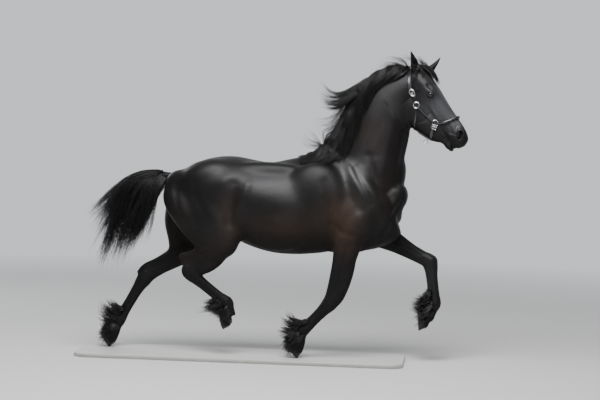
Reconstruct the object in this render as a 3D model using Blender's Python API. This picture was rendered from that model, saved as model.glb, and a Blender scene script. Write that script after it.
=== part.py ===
"""A Friesian horse at a trot, life size, with a long mane, feathered legs and a leather halter, on a base.

Metres. +X is the way the horse faces, +Y its left, +Z up; the origin is the middle of the base's underside.
"""

import math

import bmesh
import bpy
import numpy as np
from mathutils import Matrix, Vector
from mathutils.bvhtree import BVHTree

# Driving dimensions, in metres above the ground that the hooves stand on, and degrees
SEED = 7
GAP = 0.0003
# The base: length, width, height
BASE_SIZE = (2.34, 0.62, 0.030)
# Joints of each leg, (x, y, z): the bones of one leg run from each joint to the next
FORE_JOINTS = {
    "right": [(0.985, -0.165, 1.085), (0.765, -0.165, 0.845), (0.648, -0.145, 0.397),
              (0.456, -0.120, 0.192), (0.418, -0.115, 0.108)],
    "left": [(1.030, 0.165, 1.125), (0.925, 0.160, 0.895), (1.338, 0.140, 0.690),
             (1.378, 0.125, 0.386), (1.328, 0.120, 0.290)],
}
HIND_JOINTS = {
    "right": [(-0.290, -0.135, 1.180), (-0.105, -0.185, 0.800), (-0.372, -0.140, 0.592),
              (-0.085, -0.125, 0.368), (-0.068, -0.120, 0.285)],
    "left": [(-0.310, 0.135, 1.180), (-0.330, 0.180, 0.775), (-0.735, 0.135, 0.522),
             (-0.925, 0.115, 0.190), (-0.969, 0.112, 0.107)],
}
# How far each hoof is turned heel up from flat
HOOF_TURN = {"fore_right": 53, "fore_left": 86, "hind_right": 78, "hind_left": 64}
# The head: the poll, and how far the face is tipped down and turned left from straight ahead
POLL = np.array([1.205, -0.030, 2.075])
HEAD_PITCH, HEAD_YAW = 54.5, -16.0
EYE = (0.238, 0.078, -0.004)
EYE_RADIUS = 0.024
NOSTRIL = (0.592, 0.058, 0.012)
# Triangles left on the head and on the rest of the body before their locks are added
HEAD_TRIANGLES = 850
BODY_TRIANGLES = 2200
# Locks: how many, then the width and thickness of each
MANE_LOCKS = (10, 0.115, 0.022)
WISP_LOCKS = (0.055, 0.014)
FORELOCK_LOCKS = (0.034, 0.012)
TAIL_LOCKS = (3, 0.105, 0.032)
FEATHER_LOCKS = (4, 2, 0.060, 0.020)

# Points and frames. Every form is made in metres above the ground that the hooves stand on.


def smooth_rows(rows, steps):
    """Rows of numbers, with steps - 1 more between each two, on one Catmull-Rom curve through them all."""
    rows = np.asarray(rows, float)
    held = np.vstack([2 * rows[0] - rows[1], rows, 2 * rows[-1] - rows[-2]])
    t = (np.arange(steps) / steps)[:, None]
    spans = []
    for a, b, c, d in zip(held[:-3], held[1:-2], held[2:-1], held[3:]):
        bend = (2 * a - 5 * b + 4 * c - d) * t**2 + (3 * b - a - 3 * c + d) * t**3
        spans.append(b + 0.5 * ((c - a) * t + bend))
    return np.vstack([*spans, rows[-1:]])


def unit(v):
    """The vector, or each row of vectors, at length one."""
    v = np.asarray(v, float)
    return v / np.maximum(np.linalg.norm(v, axis=-1, keepdims=True), 1e-12)


def tube(rows, across=(0, 1, 0), sides=28, steps=5):
    """A closed tube through rows of (x, y, z, side, fore, hind, square, pinch).

    A ring is a rounded box: half as wide as side along across, fore deep towards the front or top and hind
    deep behind or below. The power 2 / square rounds its corners, and pinch narrows the fore half at its tip.
    """
    rows = smooth_rows([list(row) + [2.0, 0.0][len(row) - 6 :] for row in rows], steps)
    centre, side, fore, hind, square, pinch = rows[:, :3], *rows[:, 3:8].T
    along = unit(np.gradient(centre, axis=0))
    wide = unit(np.asarray(across, float) - (along @ np.asarray(across, float))[:, None] * along)
    deep = np.cross(along, wide)
    turn = np.arange(sides) * 2 * math.pi / sides
    c, s = np.cos(turn), np.sin(turn)
    power = (2 / np.maximum(square, 1.2))[:, None]
    w = np.sign(c) * np.abs(c) ** power * side[:, None]
    w = w * (1 - pinch[:, None] * np.clip(s, 0, 1) ** 1.5)
    d = np.sign(s) * np.abs(s) ** power * np.where(s >= 0, fore[:, None], hind[:, None])
    rings = centre[:, None] + w[..., None] * wide[:, None] + d[..., None] * deep[:, None]
    return capped(rings)


def capped(rings):
    """Vertices and faces of a stack of rings, each joined to the next, with a fan of faces at either end."""
    count, sides = rings.shape[:2]
    points = np.vstack([rings.reshape(-1, 3), rings[0].mean(0), rings[-1].mean(0)])
    i, j = np.meshgrid(np.arange(count - 1), np.arange(sides), indexing="ij")
    k = (j + 1) % sides
    walls = np.stack([i * sides + j, i * sides + k, (i + 1) * sides + k, (i + 1) * sides + j], -1)
    ring = np.arange(sides)
    turned = np.roll(ring, -1)
    first, last = count * sides, count * sides + 1
    top = (count - 1) * sides
    faces = walls.reshape(-1, 4).tolist()
    faces += np.stack([turned, ring, np.full(sides, first)], -1).tolist()
    faces += np.stack([top + ring, top + turned, np.full(sides, last)], -1).tolist()
    return points, faces


def ball(centre, radii, pitch=0.0, yaw=0.0, sides=24):
    """An ellipsoid of radii (length, width, height), its nose tipped down by pitch and turned left by yaw."""
    lat = np.linspace(-math.pi / 2, math.pi / 2, sides // 2 + 1)[1:-1]
    turn = np.arange(sides) * 2 * math.pi / sides
    rings = np.stack(
        [
            np.broadcast_to(np.sin(lat)[:, None], (len(lat), sides)),
            np.cos(lat)[:, None] * np.cos(turn),
            np.cos(lat)[:, None] * np.sin(turn),
        ],
        -1,
    )
    points, faces = capped(rings)
    points[-2:] = [(-1, 0, 0), (1, 0, 0)]
    return points * np.asarray(radii) @ turned(pitch, yaw).T + np.asarray(centre), faces


def turned(pitch, yaw, roll=0.0):
    """The matrix that rolls about X, tips the nose down by pitch about Y, then turns left by yaw about Z."""
    p, y, r = math.radians(pitch), math.radians(yaw), math.radians(roll)
    tip = np.array([[math.cos(p), 0, math.sin(p)], [0, 1, 0], [-math.sin(p), 0, math.cos(p)]])
    veer = np.array([[math.cos(y), -math.sin(y), 0], [math.sin(y), math.cos(y), 0], [0, 0, 1]])
    lean = np.array([[1, 0, 0], [0, math.cos(r), -math.sin(r)], [0, math.sin(r), math.cos(r)]])
    return veer @ tip @ lean


def mirrored(form):
    """The same form on the other side of the horse."""
    points, faces = form
    return points * (1, -1, 1), [face[::-1] for face in faces]


def both(form):
    """A form and its mirror image."""
    return [form, mirrored(form)]


# The trunk and neck


# Trunk, rear to front: (x, top, underside, half width, widest level from below, square, pinch)
TRUNK = [
    (-0.535, 1.185, 1.080, 0.060, 0.50, 2.0, 0.0),
    (-0.500, 1.245, 1.010, 0.125, 0.55, 2.1, 0.0),
    (-0.430, 1.305, 0.950, 0.190, 0.58, 2.2, 0.1),
    (-0.330, 1.360, 0.915, 0.245, 0.58, 2.2, 0.1),
    (-0.220, 1.408, 0.885, 0.275, 0.58, 2.2, 0.1),
    (-0.110, 1.424, 0.875, 0.287, 0.55, 2.2, 0.1),
    (0.000, 1.411, 0.838, 0.300, 0.52, 2.1, 0.1),
    (0.120, 1.399, 0.770, 0.308, 0.50, 2.1, 0.1),
    (0.250, 1.400, 0.730, 0.305, 0.49, 2.1, 0.15),
    (0.380, 1.418, 0.724, 0.292, 0.48, 2.1, 0.25),
    (0.500, 1.440, 0.734, 0.270, 0.47, 2.1, 0.4),
    (0.620, 1.445, 0.746, 0.248, 0.46, 2.1, 0.45),
    (0.750, 1.400, 0.752, 0.232, 0.46, 2.1, 0.4),
    (0.880, 1.370, 0.768, 0.218, 0.46, 2.1, 0.3),
    (0.990, 1.330, 0.815, 0.195, 0.48, 2.1, 0.2),
    (1.075, 1.275, 0.915, 0.150, 0.50, 2.1, 0.1),
    (1.133, 1.205, 0.985, 0.090, 0.50, 2.0, 0.0),
]
# Neck, base to poll: (crest x, z), (throat side x, z), y, half width, square, pinch
NECK = [
    ((0.40, 1.36), (0.92, 0.98), 0.000, 0.180, 2.1, 0.45),
    ((0.50, 1.43), (1.10, 1.12), 0.000, 0.185, 2.1, 0.50),
    ((0.58, 1.49), (1.138, 1.24), 0.000, 0.172, 2.1, 0.55),
    ((0.655, 1.60), (1.122, 1.36), -0.003, 0.150, 2.1, 0.60),
    ((0.715, 1.72), (1.138, 1.475), -0.008, 0.130, 2.1, 0.60),
    ((0.775, 1.845), (1.146, 1.575), -0.014, 0.115, 2.1, 0.58),
    ((0.855, 1.945), (1.155, 1.660), -0.020, 0.103, 2.1, 0.55),
    ((0.960, 2.020), (1.175, 1.740), -0.025, 0.094, 2.1, 0.50),
    ((1.075, 2.055), (1.215, 1.830), -0.028, 0.086, 2.1, 0.40),
    ((1.165, 2.050), (1.265, 1.900), -0.030, 0.072, 2.0, 0.25),
]


def trunk_form():
    """The barrel, loin, croup and chest in one tube from the buttocks to the breast."""
    rows = []
    for x, top, under, side, level, square, pinch in TRUNK:
        middle = under + (top - under) * level
        rows.append((x, 0, middle, side, top - middle, middle - under, square, pinch))
    return tube(rows, sides=40)


def neck_form():
    """The neck from inside the shoulders to the poll, narrow at the crest and full below it."""
    rows = []
    for crest, throat, y, side, square, pinch in NECK:
        crest, throat = np.array(crest), np.array(throat)
        middle = crest + (throat - crest) * 0.55
        deep = np.linalg.norm(throat - crest)
        rows.append((middle[0], y, middle[1], side, deep * 0.55, deep * 0.45, square, pinch))
    return tube(rows, sides=36)


# What both sides of the trunk share: (centre), (length, width, height), pitch, yaw
TRUNK_MUSCLES = [
    ((-0.235, 0.125, 1.245), (0.235, 0.135, 0.150), -12, 0),
    ((-0.105, 0.240, 1.200), (0.055, 0.045, 0.045), -20, 10),
    ((-0.420, 0.105, 1.180), (0.150, 0.095, 0.130), 40, 0),
    ((0.150, 0.130, 1.315), (0.340, 0.080, 0.070), 0, 0),
    ((0.520, 0.170, 1.130), (0.240, 0.110, 0.260), 10, 0),
    ((0.250, 0.140, 0.960), (0.320, 0.170, 0.210), 3, 0),
    ((1.072, 0.065, 1.150), (0.098, 0.085, 0.115), 20, 0),
    ((0.960, 0.080, 0.890), (0.140, 0.085, 0.085), -30, 0),
    ((0.720, 0.070, 0.800), (0.200, 0.080, 0.055), 0, 0),
]

# The limbs


# Sections of a foreleg: (bone, place along it, fore, hind, side)
FORE_SECTIONS = [
    (1, -0.10, 0.075, 0.080, 0.055),
    (1, 0.05, 0.100, 0.100, 0.066),
    (1, 0.22, 0.098, 0.085, 0.066),
    (1, 0.42, 0.079, 0.068, 0.056),
    (1, 0.65, 0.060, 0.058, 0.046),
    (1, 0.85, 0.054, 0.053, 0.045),
    (1, 0.98, 0.057, 0.056, 0.050),
    (2, 0.12, 0.052, 0.054, 0.045),
    (2, 0.30, 0.044, 0.046, 0.034),
    (2, 0.55, 0.042, 0.044, 0.032),
    (2, 0.80, 0.043, 0.047, 0.035),
    (2, 0.98, 0.046, 0.054, 0.043),
    (3, 0.45, 0.038, 0.046, 0.039),
    (3, 0.85, 0.043, 0.044, 0.044),
    (3, 1.10, 0.046, 0.044, 0.047),
]
HIND_SECTIONS = [
    (0, 0.80, 0.125, 0.150, 0.105),
    (0, 0.98, 0.105, 0.145, 0.100),
    (1, 0.22, 0.082, 0.125, 0.084),
    (1, 0.48, 0.066, 0.090, 0.064),
    (1, 0.75, 0.052, 0.066, 0.047),
    (1, 0.96, 0.056, 0.062, 0.050),
    (2, 0.10, 0.056, 0.058, 0.049),
    (2, 0.28, 0.041, 0.050, 0.037),
    (2, 0.55, 0.037, 0.046, 0.033),
    (2, 0.80, 0.039, 0.047, 0.036),
    (2, 0.98, 0.048, 0.053, 0.044),
    (3, 0.45, 0.040, 0.046, 0.040),
    (3, 0.85, 0.044, 0.044, 0.044),
    (3, 1.10, 0.046, 0.044, 0.047),
]


def limb_form(joints, sections):
    """A leg from its sections, each square to the leg's own line through the joints."""
    joints = np.asarray(joints, float)
    rows = []
    for bone, place, fore, hind, side in sections:
        at = joints[bone] + (joints[bone + 1] - joints[bone]) * place
        rows.append((*at, side, fore, hind, 2.15))
    return tube(rows, sides=24, steps=6)


def bone_ball(joints, bone, place, offset, radii, lean=0.0):
    """An ellipsoid along a bone: offset (fore, side) from its line, radii (length, side, fore)."""
    joints = np.asarray(joints, float)
    start, end = joints[bone], joints[bone + 1]
    along = unit(end - start)
    fore = np.array([-along[2], 0, along[0]])
    centre = start + (end - start) * place + fore * offset[0] + np.array([0, offset[1], 0])
    pitch = math.degrees(math.atan2(-along[2], along[0])) + lean
    return ball(centre, (radii[0], radii[1], radii[2]), pitch)


def fore_forms(side):
    """One foreleg with its shoulder blade, upper arm, point of elbow and knee."""
    joints = FORE_JOINTS[side]
    sign = 1 if side == "left" else -1
    point, elbow = np.array(joints[0]), np.array(joints[1])
    top = np.array([0.600 if side == "left" else 0.560, sign * 0.070, 1.400])
    blade = [
        (*top, 0.035, 0.060, 0.100),
        (*(top * 0.65 + point * 0.35 + (0, sign * 0.035, 0)), 0.050, 0.110, 0.150, 2.0),
        (*(top * 0.3 + point * 0.7 + (0, sign * 0.030, 0)), 0.065, 0.110, 0.130, 2.0),
        (*(point + (-0.01, sign * -0.005, 0)), 0.060, 0.085, 0.085, 2.0),
    ]
    arm = [
        (*(point + (-0.06, sign * -0.01, 0.05)), 0.055, 0.080, 0.085),
        (*(point * 0.5 + elbow * 0.5 + (-0.02, sign * 0.005, 0.02)), 0.072, 0.115, 0.130),
        (*(elbow + (-0.005, sign * 0.002, 0.03)), 0.068, 0.100, 0.100),
        (*(elbow * 0.8 + np.array(joints[2]) * 0.2), 0.058, 0.085, 0.080),
    ]
    triceps = top * 0.45 + elbow * 0.55 + np.array([-0.01, sign * 0.055, 0])
    forms = [
        tube(blade, sides=28),
        tube(arm, sides=28),
        limb_form(joints, FORE_SECTIONS),
        ball(point + (-0.015, sign * -0.012, -0.005), (0.085, 0.062, 0.095), 30),
        ball(triceps, (0.150, 0.055, 0.115), -50 if side == "right" else -35),
        bone_ball(joints, 1, 0.16, (0.045, sign * 0.020), (0.115, 0.042, 0.050), 4),
        bone_ball(joints, 1, 0.20, (-0.035, sign * 0.012), (0.120, 0.045, 0.045), -5),
        bone_ball(joints, 1, 1.0, (0.014, 0), (0.050, 0.051, 0.043)),
        bone_ball(joints, 2, 0.06, (-0.040, 0), (0.032, 0.022, 0.020)),
        bone_ball(joints, 2, 1.0, (-0.034, 0), (0.034, 0.032, 0.026)),
    ]
    if side == "right":
        forms.append(bone_ball(joints, 1, 0.52, (0.050, 0), (0.230, 0.043, 0.053)))
    return forms


def hind_forms(side):
    """One hind leg with its thigh, hamstrings, stifle and point of hock."""
    joints = HIND_JOINTS[side]
    sign = 1 if side == "left" else -1
    hip, stifle, hock = (np.array(j) for j in joints[:3])
    thigh = [
        (*(hip + (0, 0, 0.06)), 0.090, 0.150, 0.160),
        (*(hip * 0.65 + stifle * 0.35), 0.128, 0.185, 0.190),
        (*(hip * 0.3 + stifle * 0.7), 0.122, 0.160, 0.190),
        (*stifle, 0.098, 0.100, 0.140),
        (*(stifle * 0.75 + hock * 0.25), 0.080, 0.080, 0.115),
    ]
    seat = np.array([-0.470, sign * 0.100, 1.180])
    calf = stifle * 0.62 + hock * 0.38 + np.array([-0.040, 0, 0.035])
    ham = [
        (*(seat + (0.03, 0, 0.06)), 0.060, 0.100, 0.070),
        (*(seat + (0.0, sign * 0.02, -0.06)), 0.092, 0.130, 0.105),
        (*(seat * 0.5 + calf * 0.5 + (-0.018, sign * 0.035, 0)), 0.100, 0.130, 0.100),
        (*(seat * 0.2 + calf * 0.8 + (0, sign * 0.015, 0)), 0.078, 0.100, 0.075),
        (*calf, 0.058, 0.070, 0.050),
    ]
    shank = unit(hock - stifle)
    reach, heel_size = (-0.108, 0.034) if side == "right" else (-0.066, 0.025)
    heel = hock - shank * 0.030 + np.array([-shank[2], 0, shank[0]]) * reach
    cord = [
        (*(calf + (0, 0, 0)), 0.040, 0.045, 0.040),
        (*(calf * 0.4 + heel * 0.6), 0.024, 0.030, 0.024),
        (*heel, 0.024, heel_size, heel_size),
        (*(heel + (np.array(joints[3]) - hock) * 0.14 + shank * 0.02), 0.026, 0.032, 0.026),
    ]
    forms = [
        tube(thigh, sides=32),
        tube(ham, sides=28),
        tube(cord, sides=16),
        limb_form(joints, HIND_SECTIONS),
        bone_ball(joints, 1, 0.02, (0.050, sign * 0.010), (0.075, 0.055, 0.050)),
        bone_ball(joints, 2, 0.02, (0.010, 0), (0.062, 0.052, 0.050)),
        bone_ball(joints, 2, 1.0, (-0.034, 0), (0.034, 0.032, 0.026)),
    ]
    if side == "right":
        forms.append(bone_ball(joints, 1, 0.46, (0.058, 0), (0.130, 0.055, 0.052)))
    return forms


def dock_form():
    """The fleshy root of the tail, carried level and then dropping."""
    rows = [
        (-0.400, 0, 1.270, 0.045, 0.045, 0.050),
        (-0.480, 0, 1.258, 0.040, 0.036, 0.044),
        (-0.560, 0, 1.262, 0.034, 0.031, 0.036),
        (-0.640, 0, 1.262, 0.029, 0.027, 0.030),
        (-0.710, 0, 1.245, 0.024, 0.023, 0.025),
        (-0.765, 0, 1.200, 0.018, 0.018, 0.018),
        (-0.790, 0, 1.150, 0.009, 0.009, 0.009),
    ]
    return tube([(x, y, z, a, b, c, 2.0, 0.0) for x, y, z, a, b, c in rows[::-1]], sides=20)


def body_forms():
    """Every form of the trunk, neck and limbs; together they are the horse without its head and hooves."""
    forms = [trunk_form(), neck_form(), dock_form()]
    for centre, radii, pitch, yaw in TRUNK_MUSCLES:
        forms += both(ball(centre, radii, pitch, yaw))
    for side in ("left", "right"):
        forms += fore_forms(side) + hind_forms(side)
    return forms


# The head, in its own frame: s from the poll to the lips, t towards the face, y to the left


HEAD_AXES = turned(HEAD_PITCH, HEAD_YAW)
# Skull and face: (s, dorsal t, lower t, half width, widest level from below, square, pinch)
SKULL = [
    (-0.035, -0.020, -0.110, 0.045, 0.5, 2.0, 0.0),
    (0.010, 0.018, -0.160, 0.068, 0.5, 2.1, 0.1),
    (0.075, 0.044, -0.200, 0.083, 0.6, 2.2, 0.1),
    (0.150, 0.053, -0.210, 0.092, 0.7, 2.4, 0.1),
    (0.215, 0.052, -0.190, 0.093, 0.75, 2.6, 0.1),
    (0.280, 0.051, -0.150, 0.080, 0.7, 2.5, 0.1),
    (0.350, 0.050, -0.125, 0.068, 0.6, 2.3, 0.15),
    (0.420, 0.050, -0.110, 0.058, 0.5, 2.2, 0.2),
    (0.490, 0.052, -0.100, 0.052, 0.45, 2.2, 0.2),
    (0.550, 0.051, -0.098, 0.052, 0.42, 2.2, 0.15),
    (0.600, 0.042, -0.092, 0.054, 0.42, 2.3, 0.1),
    (0.635, 0.016, -0.086, 0.050, 0.42, 2.3, 0.0),
    (0.657, -0.022, -0.074, 0.036, 0.5, 2.1, 0.0),
]
JAW = [
    (0.120, -0.110, -0.215, 0.050, 0.5, 2.0, 0.0),
    (0.170, -0.060, -0.250, 0.072, 0.5, 2.1, 0.0),
    (0.240, -0.040, -0.270, 0.080, 0.5, 2.2, 0.0),
    (0.320, -0.040, -0.268, 0.076, 0.5, 2.2, 0.0),
    (0.400, -0.045, -0.236, 0.064, 0.5, 2.2, 0.0),
    (0.470, -0.050, -0.205, 0.049, 0.5, 2.2, 0.0),
    (0.530, -0.060, -0.162, 0.040, 0.5, 2.2, 0.0),
    (0.580, -0.085, -0.138, 0.036, 0.5, 2.2, 0.0),
    (0.615, -0.095, -0.134, 0.034, 0.5, 2.1, 0.0),
    (0.643, -0.098, -0.122, 0.022, 0.5, 2.0, 0.0),
]
# Both sides of the head: (s, y, t), (length, width, height), pitch, yaw, in the head's frame
HEAD_BUMPS = [
    ((0.215, 0.066, 0.006), (0.058, 0.026, 0.026), -6, -6),
    ((0.262, 0.064, -0.026), (0.045, 0.022, 0.016), 10, -8),
    ((0.265, 0.045, -0.160), (0.115, 0.042, 0.100), 0, -5),
    ((0.345, 0.050, -0.055), (0.090, 0.020, 0.012), 3, -8),
    ((0.572, 0.034, 0.004), (0.042, 0.024, 0.030), 25, 4),
    ((0.595, 0.026, -0.060), (0.045, 0.022, 0.028), 0, 0),
    ((0.040, 0.052, -0.015), (0.040, 0.026, 0.030), 0, 0),
]


def at_head(points):
    """Points of the head's frame, rows of (s, y, t), placed on the horse."""
    return np.asarray(points, float) @ HEAD_AXES.T + POLL


def head_tube(table):
    """A tube along the head from a table of its profile and half widths."""
    rows = []
    for s, top, under, side, level, square, pinch in table:
        middle = under + (top - under) * level
        rows.append((s, 0, middle, side, top - middle, middle - under, square, pinch))
    points, faces = tube(rows, sides=32, steps=6)
    return at_head(points), faces


def head_forms():
    """The skull, jaw, cheeks, brows, facial crests, nostril rims and lips."""
    forms = [head_tube(SKULL), head_tube(JAW)]
    for centre, radii, pitch, yaw in HEAD_BUMPS:
        for points, faces in both(ball(centre, radii, pitch, yaw)):
            forms.append((at_head(points), faces))
    chin = ball((0.588, 0, -0.122), (0.034, 0.030, 0.020), -8)
    forms.append((at_head(chin[0]), chin[1]))
    return forms

# Hair. A guide is a curve from its root to its tip; plain forms and locks alike are made along guides.


def bezier(points, t):
    """The curve drawn by four control points, at every t."""
    a, b, c, d = (np.asarray(p, float) for p in points)
    t = np.asarray(t, float)[:, None]
    return (1 - t) ** 3 * a + 3 * (1 - t) ** 2 * t * b + 3 * (1 - t) * t**2 * c + t**3 * d


NECK_ROWS = smooth_rows(
    [(c[0], c[1], t[0], t[1], y, side, pinch) for c, t, y, side, _, pinch in NECK], 12
)


def neck_skin(u, drop, lift, side=-1):
    """Points over the neck: u from the withers to the poll, drop down from the crest, lift off the skin.

    The side is -1 for the horse's right. Each ring of the neck is an ellipse with a crest narrowed by pinch.
    """
    u, drop, lift = np.broadcast_arrays(*(np.asarray(v, float) for v in (u, drop, lift)))
    step = np.clip(u, 0, 1) * (len(NECK_ROWS) - 1)
    cx, cz, tx, tz, y, wide, pinch = (
        np.interp(step, np.arange(len(NECK_ROWS)), column) for column in NECK_ROWS.T
    )
    deep = np.hypot(tx - cx, tz - cz)
    down = np.stack([(tx - cx) / deep, np.zeros_like(deep), (tz - cz) / deep], -1)
    fore = deep * 0.55
    s = np.clip(1 - np.abs(drop) / fore, -1, 1)
    c = np.sqrt(1 - s**2)
    out = wide * c * (1 - pinch * np.clip(s, 0, 1) ** 1.5)
    sign = side * np.where(drop < 0, -1, 1)
    crest = np.stack([cx, y, cz], -1)
    across = np.array([0.0, 1.0, 0.0])
    base = crest + down * (fore * (1 - s))[..., None] + across * (sign * out)[..., None]
    normal = unit(-down * (s / fore)[..., None] + across * (sign * c / np.maximum(wide, 0.01))[..., None])
    return base + normal * lift[..., None]


# Mane: (place along the neck, how far back it sweeps, how far down it falls), poll to withers
MANE_FALL = [
    (0.99, 0.30, 0.080),
    (0.90, 0.34, 0.120),
    (0.80, 0.36, 0.140),
    (0.70, 0.37, 0.150),
    (0.60, 0.37, 0.160),
    (0.50, 0.34, 0.170),
    (0.40, 0.29, 0.175),
    (0.30, 0.23, 0.160),
    (0.20, 0.17, 0.120),
]


def mane_guide(u, fall=1.0, sweep=1.0, lift=0.006, count=7, rise=0.006):
    """A guide from the crest at u, swept back along the neck and down its right side."""
    table = np.array(MANE_FALL[::-1])
    back = np.interp(u, table[:, 0], table[:, 1]) * sweep
    down = np.interp(u, table[:, 0], table[:, 2]) * fall
    t = np.linspace(0, 1, count)
    hump = lift * np.minimum(t * 4, 1) + rise * np.sin(np.pi * np.minimum(t * 1.3, 1))
    return neck_skin(u - back * t, down * t**1.25, hump - 0.012 * (t == 0))


# The loose wisps of the mane: four control points each
MANE_WISPS = [
    [(0.880, -0.03, 2.000), (0.700, -0.05, 1.865), (0.600, -0.06, 1.775), (0.552, -0.07, 1.920)],
    [(0.850, -0.05, 1.955), (0.700, -0.07, 1.835), (0.590, -0.09, 1.765), (0.540, -0.09, 1.850)],
    [(0.830, -0.07, 1.920), (0.700, -0.09, 1.800), (0.620, -0.10, 1.760), (0.545, -0.11, 1.820)],
    [(0.745, -0.03, 1.860), (0.670, -0.04, 1.730), (0.600, -0.05, 1.640), (0.505, -0.06, 1.705)],
    [(0.715, -0.05, 1.780), (0.650, -0.06, 1.670), (0.590, -0.07, 1.610), (0.520, -0.08, 1.650)],
    [(0.660, -0.02, 1.660), (0.590, -0.03, 1.550), (0.520, -0.04, 1.500), (0.440, -0.05, 1.590)],
    [(0.640, -0.04, 1.590), (0.560, -0.05, 1.510), (0.490, -0.05, 1.470), (0.410, -0.05, 1.530)],
    [(1.120, -0.03, 2.060), (1.090, -0.04, 2.110), (1.060, -0.05, 2.130), (1.010, -0.06, 2.130)],
    [(1.105, -0.02, 2.060), (1.070, -0.02, 2.100), (1.020, -0.03, 2.105), (0.955, -0.04, 2.090)],
]
# The forelock: some locks blown back over the poll, some hanging on the far side of the forehead
FORELOCK = [
    [(1.235, -0.040, 2.080), (1.215, -0.042, 2.120), (1.185, -0.048, 2.130), (1.150, -0.050, 2.125)],
    [(1.245, -0.020, 2.080), (1.220, -0.010, 2.115), (1.180, -0.006, 2.120), (1.145, -0.010, 2.105)],
    [(1.245, -0.030, 2.070), (1.300, -0.030, 2.095), (1.338, -0.022, 2.040), (1.358, -0.014, 1.965)],
    [(1.235, -0.045, 2.070), (1.290, -0.055, 2.085), (1.335, -0.045, 2.030), (1.360, -0.034, 1.960)],
]
DOCK = [(-0.585, 0, 1.264), (-0.650, 0, 1.270), (-0.710, 0, 1.268), (-0.765, 0, 1.245), (-0.805, 0, 1.200)]
# The tail: (place on the dock, y of the root, level from the middle), bend, hand of the tip, tip
TAIL = [
    (0.02, 0.018, -0.010, (-0.640, 0.035, 1.180), (-0.680, 0.050, 1.060), (-0.750, 0.035, 0.890)),
    (0.12, -0.018, -0.010, (-0.670, -0.040, 1.190), (-0.710, -0.060, 1.040), (-0.810, -0.040, 0.800)),
    (0.25, 0.010, -0.005, (-0.710, 0.045, 1.200), (-0.750, 0.060, 0.980), (-0.860, 0.030, 0.730)),
    (0.40, -0.012, -0.005, (-0.760, -0.045, 1.205), (-0.780, -0.050, 0.950), (-0.900, -0.030, 0.630)),
    (0.60, 0.000, -0.005, (-0.830, 0.030, 1.230), (-0.850, 0.060, 0.970), (-0.985, 0.030, 0.690)),
    (0.55, 0.010, 0.000, (-0.855, -0.020, 1.260), (-0.900, -0.055, 1.010), (-1.070, -0.020, 0.628)),
    (0.45, -0.008, 0.000, (-0.850, 0.020, 1.262), (-0.910, 0.045, 1.080), (-1.060, 0.030, 0.790)),
    (0.30, 0.006, 0.000, (-0.850, -0.010, 1.285), (-0.920, -0.030, 1.120), (-1.105, -0.030, 0.895)),
    (0.15, 0.000, 0.000, (-0.840, 0.000, 1.305), (-0.900, 0.010, 1.130), (-1.140, 0.000, 0.985)),
]
# Feathers of each leg: (root x, z), (tip x, z), down the back of the leg from the cannon to the hoof
FEATHERS = {
    "fore_right": [
        ((0.505, 0.275), (0.425, 0.268)), ((0.485, 0.260), (0.365, 0.290)), ((0.465, 0.245), (0.297, 0.318)),
        ((0.445, 0.228), (0.284, 0.263)), ((0.430, 0.205), (0.278, 0.191)), ((0.418, 0.178), (0.301, 0.164)),
        ((0.405, 0.160), (0.323, 0.122)), ((0.400, 0.140), (0.310, 0.072)), ((0.398, 0.120), (0.345, 0.030)),
    ],
    "fore_left": [
        ((1.335, 0.500), (1.270, 0.440)), ((1.340, 0.470), (1.240, 0.425)), ((1.345, 0.440), (1.196, 0.409)),
        ((1.340, 0.410), (1.186, 0.369)), ((1.330, 0.380), (1.206, 0.350)), ((1.320, 0.360), (1.240, 0.330)),
        ((1.315, 0.340), (1.250, 0.290)), ((1.310, 0.320), (1.248, 0.240)),
    ],
    "hind_right": [
        ((-0.190, 0.420), (-0.235, 0.380)), ((-0.165, 0.405), (-0.254, 0.367)),
        ((-0.140, 0.385), (-0.282, 0.344)),
        ((-0.125, 0.365), (-0.288, 0.308)), ((-0.115, 0.345), (-0.240, 0.300)),
        ((-0.105, 0.325), (-0.200, 0.285)),
        ((-0.100, 0.305), (-0.160, 0.255)), ((-0.095, 0.290), (-0.140, 0.225)),
    ],
    "hind_left": [
        ((-0.872, 0.300), (-0.970, 0.335)), ((-0.893, 0.270), (-1.000, 0.350)),
        ((-0.912, 0.240), (-1.040, 0.345)),
        ((-0.928, 0.215), (-1.079, 0.328)), ((-0.942, 0.195), (-1.085, 0.262)),
        ((-0.955, 0.175), (-1.070, 0.190)),
        ((-0.988, 0.155), (-1.067, 0.125)), ((-0.990, 0.135), (-1.088, 0.063)),
        ((-0.992, 0.120), (-1.060, 0.030)),
    ],
}


def strap_lock(path, face, width, thick, sections=6, tip=0.12, blunt=0.75):
    """A flat closed lock along a path, broad across the direction face, widest early and thin at its tip."""
    path = np.asarray(path, float)
    place = np.linspace(0, 1, len(path))
    t = np.linspace(0, 1, sections)
    line = np.stack([np.interp(t, place, column) for column in path.T], -1)
    along = unit(np.gradient(line, axis=0))
    flat = np.broadcast_to(np.asarray(face, float), line.shape)
    up = unit(flat - (along * flat).sum(-1, keepdims=True) * along)
    side = np.cross(along, up)
    swell = blunt + (1 - blunt) * np.sin(np.pi * np.minimum(t * 1.7, 1))
    swell *= tip + (1 - tip) * np.sqrt(np.clip(1 - t**2.2, 0, 1))
    turn = np.arange(4) * math.pi / 2
    rings = (
        line[:, None]
        + np.cos(turn)[None, :, None] * side[:, None] * (swell * width / 2)[:, None, None]
        + np.sin(turn)[None, :, None] * up[:, None] * (swell * thick / 2)[:, None, None]
    )
    return outward(capped(rings))


def outward(form):
    """The form with its faces turned outwards, told by the sign of its volume."""
    points, faces = form
    volume = 0.0
    for face in faces:
        a = points[face[0]]
        for i in range(1, len(face) - 1):
            volume += a @ np.cross(points[face[i]], points[face[i + 1]])
    return form if volume > 0 else (points, [face[::-1] for face in faces])


# Meshes


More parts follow.
